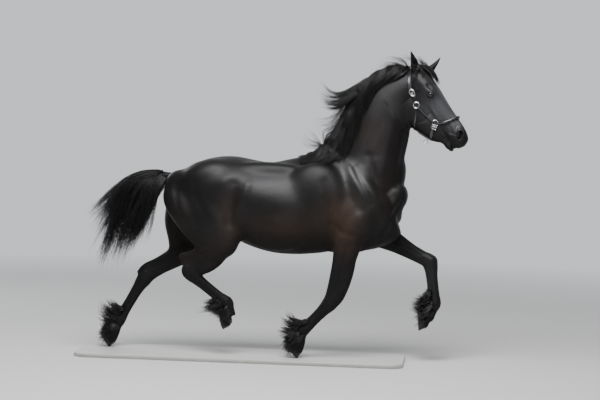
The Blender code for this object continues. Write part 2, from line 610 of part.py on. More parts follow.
def solid(name, form):
    """An object with the form as its mesh."""
    points, faces = form
    mesh = bpy.data.meshes.new(name)
    mesh.from_pydata(np.asarray(points).tolist(), [], faces)
    mesh.update()
    thing = bpy.data.objects.new(name, mesh)
    bpy.context.collection.objects.link(thing)
    return thing


def joined(forms):
    """Several forms as one, each still a closed shell of its own."""
    points, faces, count = [], [], 0
    for shell, sides in forms:
        points.append(shell)
        faces += [[i + count for i in side] for side in sides]
        count += len(shell)
    return np.vstack(points), faces


def settled(thing):
    """Replaces the object's mesh by what its modifiers make of it."""
    held = thing.evaluated_get(bpy.context.evaluated_depsgraph_get())
    mesh = bpy.data.meshes.new_from_object(held)
    old = thing.data
    thing.modifiers.clear()
    thing.data = mesh
    bpy.data.meshes.remove(old)
    return thing


def dropped(thing):
    """Takes the object and its mesh away."""
    mesh = thing.data
    bpy.data.objects.remove(thing)
    bpy.data.meshes.remove(mesh)


def modified(thing, kind, **values):
    """Gives the object one modifier and applies it."""
    modifier = thing.modifiers.new(kind, kind)
    for key, value in values.items():
        setattr(modifier, key, value)
    return settled(thing)


def combined(thing, form, operation, solver="MANIFOLD"):
    """Cuts the object with a form, adds the form to it or keeps what both share."""
    tool = form if isinstance(form, bpy.types.Object) else solid("tool", form)
    modified(thing, "BOOLEAN", operation=operation, object=tool, solver=solver)
    dropped(tool)
    return thing


def copied(thing, name):
    """A copy of the object under another name."""
    twin = bpy.data.objects.new(name, thing.data.copy())
    bpy.context.collection.objects.link(twin)
    return twin


def thinned(thing, triangles):
    """Fewer triangles, the flattest surface giving up the most."""
    mesh = thing.data
    count = sum(len(face.vertices) - 2 for face in mesh.polygons)
    if count > triangles:
        modified(thing, "DECIMATE", ratio=triangles / count, use_collapse_triangulate=True)
    return thing


def cleaned(thing):
    """Keeps the largest closed surface, all triangles, after merging points that all but touch."""
    for merge in (0.00003, 0.000005, 0.0):
        bm = bmesh.new()
        bm.from_mesh(thing.data)
        if merge:
            bmesh.ops.remove_doubles(bm, verts=bm.verts, dist=merge)
            bmesh.ops.dissolve_degenerate(bm, edges=bm.edges, dist=merge)
        bmesh.ops.triangulate(bm, faces=bm.faces)
        bmesh.ops.delete(bm, geom=smaller_parts(bm), context="VERTS")
        closed = all(len(edge.link_faces) == 2 for edge in bm.edges)
        if closed or not merge:
            bmesh.ops.recalc_face_normals(bm, faces=bm.faces)
            bm.to_mesh(thing.data)
            bm.free()
            return thing
        bm.free()


def smaller_parts(bm):
    """The points of every part of a mesh but its largest, each part being what edges join."""
    seen, parts = set(), []
    for start in bm.verts:
        if start in seen:
            continue
        part, queue = [], [start]
        seen.add(start)
        while queue:
            here = queue.pop()
            part.append(here)
            for edge in here.link_edges:
                other = edge.other_vert(here)
                if other not in seen:
                    seen.add(other)
                    queue.append(other)
        parts.append(part)
    parts.sort(key=len)
    return [vert for part in parts[:-1] for vert in part]


def relaxed(thing, weights, rounds):
    """Moves every point towards the mean of its neighbours, as far as its weight says, some rounds over."""
    mesh = thing.data
    points = np.empty(len(mesh.vertices) * 3)
    mesh.vertices.foreach_get("co", points)
    points = points.reshape(-1, 3)
    edges = np.empty(len(mesh.edges) * 2, int)
    mesh.edges.foreach_get("vertices", edges)
    a, b = edges.reshape(-1, 2).T
    count = np.bincount(a, minlength=len(points)) + np.bincount(b, minlength=len(points))
    weight = weights(points)[:, None] * 0.5
    for _ in range(rounds):
        total = np.stack(
            [
                np.bincount(a, points[b, k], len(points)) + np.bincount(b, points[a, k], len(points))
                for k in range(3)
            ],
            -1,
        )
        points = points + (total / count[:, None] - points) * weight
    mesh.vertices.foreach_set("co", points.ravel())
    mesh.update()
    return thing


def block(corner, axes, low, high):
    """A box with sides along axes: from low to high in each, measured from corner."""
    axes = unit(np.asarray(axes, float))
    picks = [(x, y, z) for x in (0, 1) for y in (0, 1) for z in (0, 1)]
    ends = np.array([low, high], float)
    points = [np.asarray(corner) + sum(ends[p[k], k] * axes[k] for k in range(3)) for p in picks]
    faces = [[0, 1, 3, 2], [4, 6, 7, 5], [0, 4, 5, 1], [2, 3, 7, 6], [0, 2, 6, 4], [1, 5, 7, 3]]
    return outward((np.array(points), faces))



# The body, made whole and then cut into its nodes


ROOT_DEPTH = 0.012
# Each leg: (where the trunk ends, the way the cut faces, reach forward and back of the cut),
# (place of the lower cut along the cannon, reach of its cell)
LEG_CUTS = {
    "fore_right": ((0.727, 0, 0.700), (0, 0, -1), (-0.45, 0.20), 0.20, 0.12),
    "fore_left": ((1.098, 0, 0.809), (0.896, 0, -0.444), (-0.80, 0.12), 0.20, 0.12),
    "hind_right": ((-0.225, 0, 0.690), (-0.450, 0, -0.893), (-0.25, 0.60), 0.30, 0.078),
    "hind_left": ((-0.472, 0, 0.686), (-0.848, 0, -0.530), (-0.25, 0.60), 0.20, 0.12),
}
# From how near the horse's middle to how far out a leg's cell reaches, by the end of its name
LEG_SIDES = {"left": (0.012, 0.50), "ight": (-0.50, -0.012)}
JOINTS = {
    "fore_right": FORE_JOINTS["right"],
    "fore_left": FORE_JOINTS["left"],
    "hind_right": HIND_JOINTS["right"],
    "hind_left": HIND_JOINTS["left"],
}
HEAD_CUT = ((1.136, 0, 1.870), (0.997, 0, 0.080))
NECK_CUT = ((0.700, 0, 1.173), (0.485, 0, 0.874))
TAIL_CUT = ((-0.560, 0, 1.262), (-1.0, 0, 0.0))


def slab(cut, reach, gap, side=0.6, deep=1.6):
    """The space beyond a cut: from gap past it to deep past it, and reach along the cut to either side."""
    at, face = cut
    face = unit(np.asarray(face, float))
    rise = np.array([-face[2], 0, face[0]])
    low, high = (reach, reach) if np.isscalar(reach) else (-reach[0], reach[1])
    side_low, side_high = (-side, side) if np.isscalar(side) else side
    return block(at, (face, (0, 1, 0), rise), (gap, side_low, -low), (deep, side_high, high))


def leg_cell(name, gap):
    """The space of a whole leg below its cut from the trunk."""
    at, face, reach, _, _ = LEG_CUTS[name]
    return slab((at, face), reach, gap, LEG_SIDES[name[-4:]], 1.3)


def cannon_cell(name, gap):
    """The space of a leg below its knee or hock."""
    place, reach = LEG_CUTS[name][3:]
    knee, fetlock = (np.array(JOINTS[name][k]) for k in (2, 3))
    at = knee + (fetlock - knee) * place
    at[1] = 0
    face = fetlock - knee
    face[1] = 0
    return slab((at, face), (-reach, reach), gap, LEG_SIDES[name[-4:]], 0.75)


def softness(points):
    """How far each point of the body may be smoothed: fully on the trunk, a little on legs, head and dock."""
    x, _, z = points.T
    low = np.clip((z - 0.60) / 0.25, 0.06, 1)
    reach = np.clip((x - 1.02) / 0.12, 0, 1) * np.clip((1.02 - z) / 0.10, 0, 1)
    s = (points - POLL) @ HEAD_AXES[:, 0]
    face = np.clip((s - 0.02) / 0.10, 0, 1) * np.clip((z - 1.35) / 0.1, 0, 1)
    dock = np.clip((-0.50 - x) / 0.06, 0, 1) * np.clip((z - 1.17) / 0.04, 0, 1)
    return low * (1 - 0.93 * reach) * (1 - 0.90 * face) * (1 - 0.95 * dock)


def horse_body():
    """The trunk, neck, legs and head fused into one skin and smoothed."""
    body = solid("body", joined(body_forms() + head_forms()))
    modified(body, "REMESH", mode="VOXEL", voxel_size=0.006)
    return relaxed(cleaned(body), softness, 110)


def hoof_axes(name):
    """The frame of a hoof: its toe along the first axis, its sole square to the third."""
    return turned(HOOF_TURN[name], 0)


CORONET = np.array([-0.020, 0, 0.068])
HOOF_RINGS = [
    (-0.004, 0.000, 0.070, 0.060, 0.062),
    (-0.004, 0.004, 0.076, 0.064, 0.0655),
    (-0.009, 0.024, 0.068, 0.060, 0.063),
    (-0.018, 0.058, 0.054, 0.048, 0.055),
]


def hoof_form(name, grow=0.0):
    """A hoof: (x, level, toe, heel, half width) up from the sole, its coronet sloping down to the heel."""
    rings = []
    for k, (x, level, toe, heel, half) in enumerate(HOOF_RINGS):
        turn = np.arange(16) * math.pi / 8
        c, s = np.cos(turn), np.sin(turn)
        px = x + np.where(c > 0, toe + grow, heel + grow) * c
        slope = (0.30 * (px - x) if k == len(HOOF_RINGS) - 1 else 0) + (-grow if k == 0 else grow * 0.6)
        rings.append(np.stack([px, (half + grow) * s, level + slope + 0 * c], -1))
    points, faces = capped(np.array(rings))
    return outward(((points - CORONET) @ hoof_axes(name).T + JOINTS[name][4], faces))


def hoof_top(name, gap):
    """The space of a hoof below the plane of its coronet."""
    axes = hoof_axes(name)
    face = axes @ unit(np.array([0.30, 0, -1.0]))
    at = axes @ (np.array([-0.018, 0, 0.058]) - CORONET) + JOINTS[name][4]
    return slab(((at[0], 0, at[2]), face), 0.080, gap, 0.5, 0.15)


def laid(path, skin, lift):
    """The path with every point but the first held at least lift above the skin."""
    path = np.array(path)
    for k in range(1, len(path)):
        at, normal = skin.over(path[k], 0)
        if (path[k] - at) @ normal < lift:
            path[k] = at + normal * lift
    return path


def mane_locks(count, width, thick, rng, skin, levels=2):
    """Locks down the right side of the neck: long ones on the skin and, over their roots, shorter ones."""
    locks = []
    for level in range(levels):
        row = count - 2 * level
        for k in range(row):
            u = 0.20 + 0.80 * (k + 0.5 + 0.35 * rng.uniform(-1, 1)) / row
            fall = (1.0 if level == 0 else 0.60) * rng.uniform(0.86, 1.06)
            sweep = rng.uniform(0.92, 1.10)
            guide = mane_guide(u, fall, sweep, 0.006 + 0.014 * level, 7, 0.006 + 0.008 * level)
            path = laid(guide, skin, 0.005 + 0.008 * level)
            face = skin.over(path[len(path) // 2], 0)[1]
            locks.append(strap_lock(path, face, width * rng.uniform(0.85, 1.15), thick, 5))
    return locks


def wisps(table, width, thick, rng, skin):
    """Locks along curves of four control points, each rooted in the skin."""
    locks = []
    for points in table:
        path = laid(bezier(points, np.linspace(0, 1, 7)), skin, 0.006)
        path[0] = skin.over(path[0], -ROOT_DEPTH)[0]
        locks.append(strap_lock(path, (0.1, -1, 0.35), width * rng.uniform(0.8, 1.15), thick, 5, 0.1))
    return locks


def along(table, place):
    """The point at a place from 0 to 1 along a table of points."""
    table = np.array(table)
    step = place * (len(table) - 1)
    return np.array([np.interp(step, np.arange(len(table)), column) for column in table.T])


def tail_guide(row, shift=(0, 0, 0), count=9):
    """A guide of the tail from its row: out of the dock, over and down to its tip."""
    place, y, level, bend, hand, tip = row
    root = along(DOCK, place) + (0, y, level)
    curve = [root, np.array(bend), np.array(hand) + shift, np.array(tip) + shift]
    return bezier(curve, np.linspace(0, 1, count))


def tail_locks(repeat, width, thick, rng):
    """Locks of the tail, some round each row of the table."""
    locks = []
    for row in TAIL:
        for _ in range(repeat):
            shift = rng.normal(0, 1, 3) * (0.026, 0.032, 0.030)
            path = tail_guide(row, shift)
            locks.append(strap_lock(path, (0.1, -1, 0.1), width * rng.uniform(0.8, 1.1), thick, 7, 0.1, 0.35))
    return locks


def feather_guide(name, place, side, reach=1.0, count=6):
    """A guide of a leg's feather: place down the back of the leg, side from -1 to 1 round it."""
    rows = np.array([(*root, *tip) for root, tip in FEATHERS[name]])
    step = place * (len(rows) - 1)
    rx, rz, tx, tz = (np.interp(step, np.arange(len(rows)), column) for column in rows.T)
    knee, fetlock = (np.array(JOINTS[name][k]) for k in (2, 3))
    y = JOINTS[name][3][1]
    root = np.array([rx, y + 0.030 * side, rz])
    tip = np.array([tx, y + 0.060 * side, tz])
    down = unit(fetlock - knee)
    middle = root + (tip - root) * 0.5 + down * 0.018
    return bezier([root, root + down * 0.03 + (middle - root) * 0.4, middle + (tip - middle) * 0.3,
                   root + (tip - root) * reach], np.linspace(0, 1, count))


def feather_locks(name, rows, across, width, thick, rng):
    """Locks of one leg's feather, in rows down the leg and some across it."""
    locks = []
    for k in range(rows):
        for j in range(across):
            place = (k + 0.5) / rows + 0.3 / rows * rng.uniform(-1, 1) * (across > 1)
            side = 0.0 if across == 1 else -1 + 2 * j / (across - 1) + 0.1 * rng.uniform(-1, 1)
            path = feather_guide(name, min(max(place, 0), 1), side, rng.uniform(0.85, 1.02))
            face = (0.0, 1.0 if side >= 0 else -1.0, 0.25)
            locks.append(strap_lock(path, face, width * rng.uniform(0.85, 1.15), thick, 5, 0.1))
    return locks


def grown(thing, forms):
    """Fuses closed forms to the object in a single union and keeps the outer surface."""
    store = bpy.data.collections.new("forms")
    bpy.context.scene.collection.children.link(store)
    for points, faces in forms:
        mesh = bpy.data.meshes.new("form")
        mesh.from_pydata(np.asarray(points).tolist(), [], faces)
        held = bpy.data.objects.new("form", mesh)
        store.objects.link(held)
    union = {"operation": "UNION", "operand_type": "COLLECTION", "solver": "MANIFOLD"}
    modified(thing, "BOOLEAN", collection=store, **union)
    for held in list(store.objects):
        dropped(held)
    bpy.data.collections.remove(store)
    return cleaned(thing)


# Head fittings, all in the head's frame


def ear_form(sign, inner=0.0):
    """An ear: a leaf rolled into a cup; its inside is a smaller leaf set towards the opening."""
    base, tip, facing = EARS[sign]
    base, tip = np.array(base), np.array(tip)
    axis = unit(tip - base)
    front = unit(np.array(facing) - axis * (np.array(facing) @ axis))
    side = np.cross(axis, front)
    length = np.linalg.norm(tip - base)
    profile = [(-0.22, 0.028, 0.026), (0.05, 0.031, 0.028), (0.22, 0.030, 0.025), (0.42, 0.0245, 0.019),
               (0.66, 0.0150, 0.011), (0.87, 0.0085, 0.007), (1.0, 0.003, 0.003)]
    rings = []
    for place, wide, deep in profile:
        turn = np.arange(8) * math.pi / 4
        centre = base + axis * length * place + front * (0.004 * math.sin(math.pi * min(max(place, 0), 1)))
        if inner:
            centre = centre + front * deep * 0.62 + axis * length * 0.03
            wide, deep = wide * 0.62, deep * 0.95
        rings.append(centre + np.cos(turn)[:, None] * side * wide + np.sin(turn)[:, None] * front * deep)
    rings = np.array(rings)
    return outward(capped(rings[2:6] if inner else rings))


# Ears on the horse: base, tip, the way the cup opens
EARS = {
    -1: ((1.198, -0.087, 2.062), (1.168, -0.105, 2.177), (0.35, -0.90, 0.10)),
    1: ((1.279, 0.027, 2.048), (1.372, 0.045, 2.146), (0.70, 0.45, -0.55)),
}


def head_point(s, y, t):
    """One point of the head's frame placed on the horse."""
    return at_head([[s, y, t]])[0]


class Skin:
    """The surface of a node, to lay straps on."""

    def __init__(self, thing):
        bm = bmesh.new()
        bm.from_mesh(thing.data)
        self.tree = BVHTree.FromBMesh(bm)
        bm.free()

    def over(self, point, lift):
        """The point of the skin nearest to a point, lifted off it, and the skin's own direction there."""
        at, normal, _, _ = self.tree.find_nearest(Vector(point))
        normal = np.array(normal)
        return np.array(at) + normal * lift, normal


def strap(skin, guide, width, thick, lift, steps=3, closed=False, rounded=False, grow=0.0):
    """A strap laid over the skin along a guide; round ones are tubes, flat ones lie on their broad side."""
    guide = np.asarray(guide, float)
    line = smooth_rows(guide, steps)
    spots = [skin.over(p, lift + thick / 2) for p in line]
    centre = np.array([s[0] for s in spots])
    out = np.array([s[1] for s in spots])
    for _ in range(3):
        out[1:-1] = unit(out[:-2] + 2 * out[1:-1] + out[2:])
    ahead = unit(np.gradient(centre, axis=0))
    side = unit(np.cross(ahead, out))
    up = np.cross(side, ahead)
    count = 6 if rounded else 4
    turn = (np.arange(count) + 0.5) * 2 * math.pi / count
    if rounded:
        wide, tall = width / 2 + grow, thick / 2 + grow
    else:
        wide, tall = (width / 2 + grow) * math.sqrt(2), (thick / 2 + grow) * math.sqrt(2)
    rings = (
        centre[:, None]
        + (np.cos(turn) * wide)[None, :, None] * side[:, None]
        + (np.sin(turn) * tall)[None, :, None] * up[:, None]
    )
    rings[0] -= ahead[0] * grow
    rings[-1] += ahead[-1] * grow
    return outward(capped(rings))


def ring_form(centre, normal, ahead, long, short, wire, sides=10, grow=0.0):
    """A ring or oval buckle of wire lying flat, long along ahead."""
    normal = unit(np.asarray(normal, float))
    ahead = unit(np.asarray(ahead, float) - normal * (np.asarray(ahead) @ normal))
    side = np.cross(normal, ahead)
    turn = np.arange(sides) * 2 * math.pi / sides
    middle = centre + np.cos(turn)[:, None] * ahead * long + np.sin(turn)[:, None] * side * short
    out = unit(np.cos(turn)[:, None] * ahead / long + np.sin(turn)[:, None] * side / short)
    round_ = np.arange(4) * math.pi / 2
    points = (
        middle[:, None]
        + np.cos(round_)[None, :, None] * out[:, None] * (wire + grow)
        + np.sin(round_)[None, :, None] * normal * (wire + grow)
    )
    i, j = np.meshgrid(np.arange(sides), np.arange(4), indexing="ij")
    a, b = i * 4 + j, i * 4 + (j + 1) % 4
    c, d = (i + 1) % sides * 4 + (j + 1) % 4, (i + 1) % sides * 4 + j
    return outward((points.reshape(-1, 3), np.stack([a, b, c, d], -1).reshape(-1, 4).tolist()))


# Halter, on the right side (y is mirrored for the left): guides in the head's frame (s, y, t)
CROWN = [(0.214, 0.11, -0.120), (0.186, 0.11, -0.114), (0.150, 0.11, -0.106), (0.105, 0.11, -0.090),
         (0.060, 0.10, -0.070), (0.023, 0.09, -0.046), (-0.005, 0.07, -0.022), (-0.018, 0.035, -0.006),
         (-0.022, 0.0, 0.004)]
CHEEK = [(0.270, 0.10, -0.128), (0.310, 0.10, -0.119), (0.350, 0.10, -0.109), (0.392, 0.09, -0.098)]
NOSE = [(0.451, 0.08, -0.074), (0.457, 0.08, -0.045), (0.462, 0.075, -0.010), (0.466, 0.06, 0.025),
        (0.468, 0.035, 0.050), (0.469, 0.0, 0.060)]
CHIN = [(0.440, 0.08, -0.118), (0.452, 0.075, -0.142), (0.470, 0.060, -0.168), (0.488, 0.035, -0.195),
        (0.496, 0.0, -0.204)]
THROAT = [(0.268, 0.10, -0.148), (0.296, 0.09, -0.172), (0.326, 0.075, -0.205), (0.352, 0.045, -0.245),
          (0.362, 0.0, -0.258)]
JAW_STRAP = [(0.392, 0.0, -0.250), (0.420, 0.0, -0.240), (0.450, 0.0, -0.228), (0.480, 0.0, -0.214)]
UPPER_RING = (0.242, 0.10, -0.129)
LOWER_RING = (0.422, 0.08, -0.088)
BUCKLE = (0.157, 0.11, -0.107)


def whole_guide(half):
    """A strap that runs over from the right side to the left, from half of its guide."""
    half = np.array(half)
    return np.vstack([half * (1, -1, 1), (half * (1, 1, 1))[-2::-1]])

# Details of the head

SIDES = {-1: "right", 1: "left"}
FEATHER_CLEARANCE = 0.002


def eye_centre(sign):
    """The middle of an eyeball on the horse."""
    return head_point(EYE[0], sign * EYE[1], EYE[2])


def lid_forms(sign):
    """The upper and lower lids: rolls of skin that lie on the eyeball and meet at its corners."""
    forms = []
    for upper in (1, -1):
        rows = []
        for step in np.linspace(0, 1, 5):
            turn = math.pi * step
            ds, dt = 0.027 * math.cos(turn), (0.0165 if upper > 0 else 0.0145) * math.sin(turn) * upper
            ds, dt = ds - 0.20 * dt, dt + 0.22 * ds
            out = math.sqrt(max(EYE_RADIUS**2 - ds**2 * 0.8 - dt**2, 0)) + 0.001
            thick = 0.0035 + 0.0030 * math.sin(turn) * (1.1 if upper > 0 else 0.8)
            spot = head_point(EYE[0] + ds, sign * (EYE[1] + out * 0.92), EYE[2] + dt)
            rows.append((*spot, thick, thick, thick, 2.0))
        forms.append(outward(tube(rows, across=at_head([[0, 1, 0]])[0] - POLL, sides=5, steps=1)))
    return forms


def nostril_form(sign):
    """The hollow of a nostril, a comma that opens forward and outward."""
    s, y, t = NOSTRIL
    points, faces = ball((s, sign * y, t), (0.024, 0.013, 0.012), 40, sign * 18, 8)
    return outward((at_head(points), faces))


def mouth_form():
    """The groove between the lips, from one corner of the mouth round the front to the other."""
    half = [(0.560, -0.052, -0.080), (0.590, -0.052, -0.089), (0.620, -0.044, -0.096),
            (0.645, -0.028, -0.097)]
    middle = [(0.662, 0.0, -0.094)]
    rows = half + middle + [(s, -y, t) for s, y, t in half[::-1]]
    line = at_head(rows)
    rows = [(*p, 0.006, 0.0022, 0.0022, 2.0) for p in line]
    return outward(tube(rows, across=(0, 0, 1), sides=4, steps=1))


# The halter's forms by node name; those with no side of their own run over both


def halter_forms(skin, grow=0.0):
    """Every strap, ring and buckle of the halter, laid on the skin."""
    forms = {}
    for sign, side in SIDES.items():
        turn = np.array([1, sign, 1])

        guide = [head_point(*(np.array(p) * turn)) for p in CHEEK]
        forms["halter_cheek_" + side] = strap(skin, guide, 0.013, 0.013, 0.002, 2, rounded=True, grow=grow)
        for name, place, long, short, wire in (
            ("halter_upper_ring_", UPPER_RING, 0.0200, 0.0200, 0.0038),
            ("halter_lower_ring_", LOWER_RING, 0.0210, 0.0210, 0.0038),
        ):
            at, normal = skin.over(head_point(*(np.array(place) * turn)), wire + 0.0015)
            ahead = HEAD_AXES[:, 0]
            forms[name + side] = ring_form(at, normal, ahead, long, short, wire, grow=grow)
        at, normal = skin.over(head_point(*(np.array(BUCKLE) * turn)), 0.0150)
        forms["halter_buckle_" + side] = ring_form(
            at, normal, HEAD_AXES[:, 0], 0.0270, 0.0180, 0.0045, grow=grow
        )

    def whole(guide):
        return [head_point(*p) for p in whole_guide(guide)]

    forms["halter_crown"] = strap(skin, whole(CROWN), 0.020, 0.005, 0.002, 1, grow=grow)
    forms["halter_nose"] = strap(skin, whole(NOSE), 0.014, 0.014, 0.002, 1, rounded=True, grow=grow)
    forms["halter_chin"] = strap(skin, whole(CHIN), 0.020, 0.005, 0.002, 2, grow=grow)
    forms["halter_throat"] = strap(skin, whole(THROAT), 0.013, 0.005, 0.002, 2, grow=grow)
    forms["halter_jaw"] = strap(skin, [head_point(*p) for p in JAW_STRAP], 0.020, 0.005, 0.002, 2, grow=grow)
    at, normal = skin.over(head_point(0.473, 0.0, -0.230), 0.026)
    forms["halter_lead_ring"] = ring_form(at, HEAD_AXES[:, 1], normal, 0.0150, 0.0150, 0.0028, grow=grow)
    return forms


# The nodes


COLOURS = {
    "coat": (0.012, 0.011, 0.011, 1, 0.38),
    "hair": (0.008, 0.008, 0.009, 1, 0.50),
    "horn": (0.035, 0.032, 0.030, 1, 0.55),
    "eye": (0.012, 0.007, 0.004, 1, 0.08),
    "leather": (0.010, 0.010, 0.010, 1, 0.35),
    "metal": (0.70, 0.70, 0.70, 1, 0.22),
    "base": (0.42, 0.41, 0.39, 1, 0.70),
}


def finished(thing, name, colour):
    """Names the node, gives it its own material and lifts it on to the base."""
    thing.name = name
    thing.data.name = name
    red, green, blue, alpha, rough = COLOURS[colour]
    material = bpy.data.materials.new(name)
    material.use_nodes = True
    shader = material.node_tree.nodes["Principled BSDF"]
    shader.inputs["Base Color"].default_value = (red, green, blue, alpha)
    shader.inputs["Roughness"].default_value = rough
    shader.inputs["Metallic"].default_value = 1.0 if colour == "metal" else 0.0
    thing.data.materials.clear()
    thing.data.materials.append(material)
    thing.data.shade_smooth()
    thing.data.set_sharp_from_angle(angle=math.radians(40))
    if name != "stand_base":
        points = np.empty(len(thing.data.vertices) * 3)
        thing.data.vertices.foreach_get("co", points)
        points[2::3] += BASE_SIZE[2]
        thing.data.vertices.foreach_set("co", points)
        thing.data.update()
    return thing


def base_form():
    """The base: a plate with rounded corners and a chamfered upper edge, its underside at z = 0."""
    length, width, height = BASE_SIZE
    turn = np.arange(28) * 2 * math.pi / 28 + math.pi / 28
    corner = np.stack([np.sign(np.cos(turn)), np.sign(np.sin(turn))], -1)
    rings = []
    for level, inset in ((0, 0), (height - 0.006, 0), (height, 0.006)):
        radius = 0.10 - inset
        middle = corner * (np.array([length, width]) / 2 - 0.10)
        flat = middle + radius * np.stack([np.cos(turn), np.sin(turn)], -1)
        rings.append(np.column_stack([flat, np.full(28, level)]))
    return outward(capped(np.array(rings)))


def make_leg(name, body, torso, rng):
    """Cuts one leg out of the trunk and parts it into upper leg, shank with its feather, and hoof."""
    combined(torso, leg_cell(name, 0), "DIFFERENCE")
    leg = combined(copied(body, "leg"), leg_cell(name, GAP), "INTERSECT")
    lower = combined(copied(leg, "lower"), cannon_cell(name, GAP), "INTERSECT")
    combined(leg, cannon_cell(name, 0), "DIFFERENCE")
    finished(cleaned(leg), "leg_" + name, "coat")
    combined(cleaned(lower), hoof_top(name, -GAP), "DIFFERENCE")
    grown(cleaned(lower), feather_locks(name, *FEATHER_LOCKS, rng))
    combined(lower, hoof_form(name, 4 * GAP), "DIFFERENCE")
    combined(lower, ground(name, FEATHER_CLEARANCE), "DIFFERENCE")
    finished(cleaned(lower), "shank_" + name, "coat")
    hoof = combined(solid("hoof", hoof_form(name)), ground(name, GAP), "DIFFERENCE")
    finished(cleaned(hoof), "hoof_" + name, "horn")


def ground(name, level):
    """The space below a level, round one hoof."""
    return block((JOINTS[name][4][0], 0, 0), np.eye(3), (-1, -1, -1), (1, 1, level))


def make_neck(neck, rng):
    """Grows the mane and its loose wisps on the neck."""
    skin = Skin(cleaned(neck))
    grown(neck, mane_locks(*MANE_LOCKS, rng, skin) + wisps(MANE_WISPS, *WISP_LOCKS, rng, skin))
    combined(neck, slab(NECK_CUT, 1.4, GAP, 0.8, 2.0), "INTERSECT")
    combined(neck, slab(HEAD_CUT, 0.7, 0, 0.8), "DIFFERENCE")
    finished(cleaned(neck), "neck", "coat")


def make_tail(dock, rng):
    """Grows the hair of the tail on the dock."""
    grown(cleaned(dock), tail_locks(*TAIL_LOCKS, rng))
    combined(dock, slab(TAIL_CUT, 1.5, GAP, 0.8, 2.0), "INTERSECT")
    finished(cleaned(dock), "tail", "hair")


def make_ear(sign, name, head, crown):
    """An ear hollowed into a cup and cut clear of the head and the halter's crown."""
    ear = combined(solid("ear", ear_form(sign)), ear_form(sign, 1.0), "DIFFERENCE")
    combined(ear, copied(head, "tool"), "DIFFERENCE")
    base, tip = (np.array(p) for p in EARS[sign][:2])
    ear.data.transform(Matrix.Translation(Vector(unit(tip - base) * 2 * GAP)))
    combined(ear, crown, "DIFFERENCE")
    finished(cleaned(ear), name, "coat")


def make_head(head, rng):
    """Gives the head its lids, eyes, nostrils, mouth, ears and forelock, and room for the halter."""
    cleaned(head)
    for sign in SIDES:
        grown(head, lid_forms(sign))
    for sign, side in SIDES.items():
        combined(head, ball(eye_centre(sign), [EYE_RADIUS + GAP] * 3, 0, 0, 12), "DIFFERENCE")
        combined(head, nostril_form(sign), "DIFFERENCE")
        eye = solid("eye", ball(eye_centre(sign), [EYE_RADIUS] * 3, 0, 0, 12))
        finished(cleaned(eye), "eye_" + side, "eye")
    combined(head, mouth_form(), "DIFFERENCE")
    skin = Skin(cleaned(head))
    room = halter_forms(skin, GAP)
    for sign, side in SIDES.items():
        make_ear(sign, "ear_" + side, head, room["halter_crown"])
    grown(head, wisps(FORELOCK, *FORELOCK_LOCKS, rng, skin))
    combined(head, slab(HEAD_CUT, 0.7, GAP, 0.8), "INTERSECT")
    for form in room.values():
        combined(head, form, "DIFFERENCE")
    finished(cleaned(head), "head", "coat")
    make_halter(skin, room)


def make_halter(skin, room):
    """The straps, rings and buckles; the crown strap is cut clear of the buckles that it runs through."""
    for name, form in halter_forms(skin).items():
        metal = "ring" in name or "buckle" in name
        piece = solid(name, form)
        if name == "halter_crown":
            for side in SIDES.values():
                combined(piece, room["halter_buckle_" + side], "DIFFERENCE")
        finished(cleaned(piece), name, "metal" if metal else "leather")


def build():
    """Makes the horse whole, then parts it into its nodes and finishes each."""
    rng = np.random.default_rng(SEED)
    body = horse_body()
    head = combined(copied(body, "head"), slab(HEAD_CUT, 0.55, GAP), "INTERSECT")
    thinned(cleaned(head), HEAD_TRIANGLES)
    combined(head, slab(HEAD_CUT, 0.55, 1.5 * GAP), "INTERSECT")
    combined(body, slab(HEAD_CUT, 0.55, 0), "DIFFERENCE")
    thinned(cleaned(body), BODY_TRIANGLES)
    combined(body, slab(HEAD_CUT, 0.55, 0), "DIFFERENCE")
    neck = combined(copied(body, "neck"), slab(NECK_CUT, 1.2, GAP), "INTERSECT")
    dock = combined(copied(body, "tail"), slab(TAIL_CUT, 0.075, GAP, 0.10, 0.4), "INTERSECT")
    torso = combined(copied(body, "torso"), slab(NECK_CUT, 1.2, 0), "DIFFERENCE")
    combined(torso, slab(TAIL_CUT, 0.075, 0, 0.10, 0.4), "DIFFERENCE")
    for name in LEG_CUTS:
        make_leg(name, body, torso, rng)
    dropped(body)
    finished(cleaned(torso), "torso", "coat")
    make_neck(neck, rng)
    make_tail(dock, rng)
    make_head(head, rng)
    finished(cleaned(solid("stand_base", base_form())), "stand_base", "base")


for old in list(bpy.data.objects):
    bpy.data.objects.remove(old)
build()
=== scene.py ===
"""Looks of the black Friesian horse at a trot: its skin, hair, eyes, hooves, halter and base.

Metres, +X the way the horse faces, +Y its left, +Z up. Forms are made above the ground that the hooves stand
on and are lifted on to the base at the end of their making.
"""

import math

import bmesh
import bpy
import numpy as np
from mathutils import Matrix, Vector
from mathutils.bvhtree import BVHTree


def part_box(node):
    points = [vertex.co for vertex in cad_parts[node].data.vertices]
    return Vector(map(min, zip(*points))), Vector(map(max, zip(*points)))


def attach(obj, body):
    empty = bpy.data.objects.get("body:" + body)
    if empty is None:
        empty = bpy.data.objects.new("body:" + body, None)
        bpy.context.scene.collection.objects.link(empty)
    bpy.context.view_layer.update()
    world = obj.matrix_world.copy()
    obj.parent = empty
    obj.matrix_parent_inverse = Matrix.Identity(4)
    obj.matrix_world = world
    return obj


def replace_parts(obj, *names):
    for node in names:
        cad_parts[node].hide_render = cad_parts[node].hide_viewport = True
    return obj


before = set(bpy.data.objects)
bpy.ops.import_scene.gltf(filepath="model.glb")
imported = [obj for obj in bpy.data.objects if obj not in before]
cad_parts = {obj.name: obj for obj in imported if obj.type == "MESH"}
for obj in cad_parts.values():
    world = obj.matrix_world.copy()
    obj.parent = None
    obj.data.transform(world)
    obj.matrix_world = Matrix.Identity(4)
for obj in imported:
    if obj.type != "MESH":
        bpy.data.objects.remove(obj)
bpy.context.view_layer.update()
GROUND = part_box("stand_base")[1].z


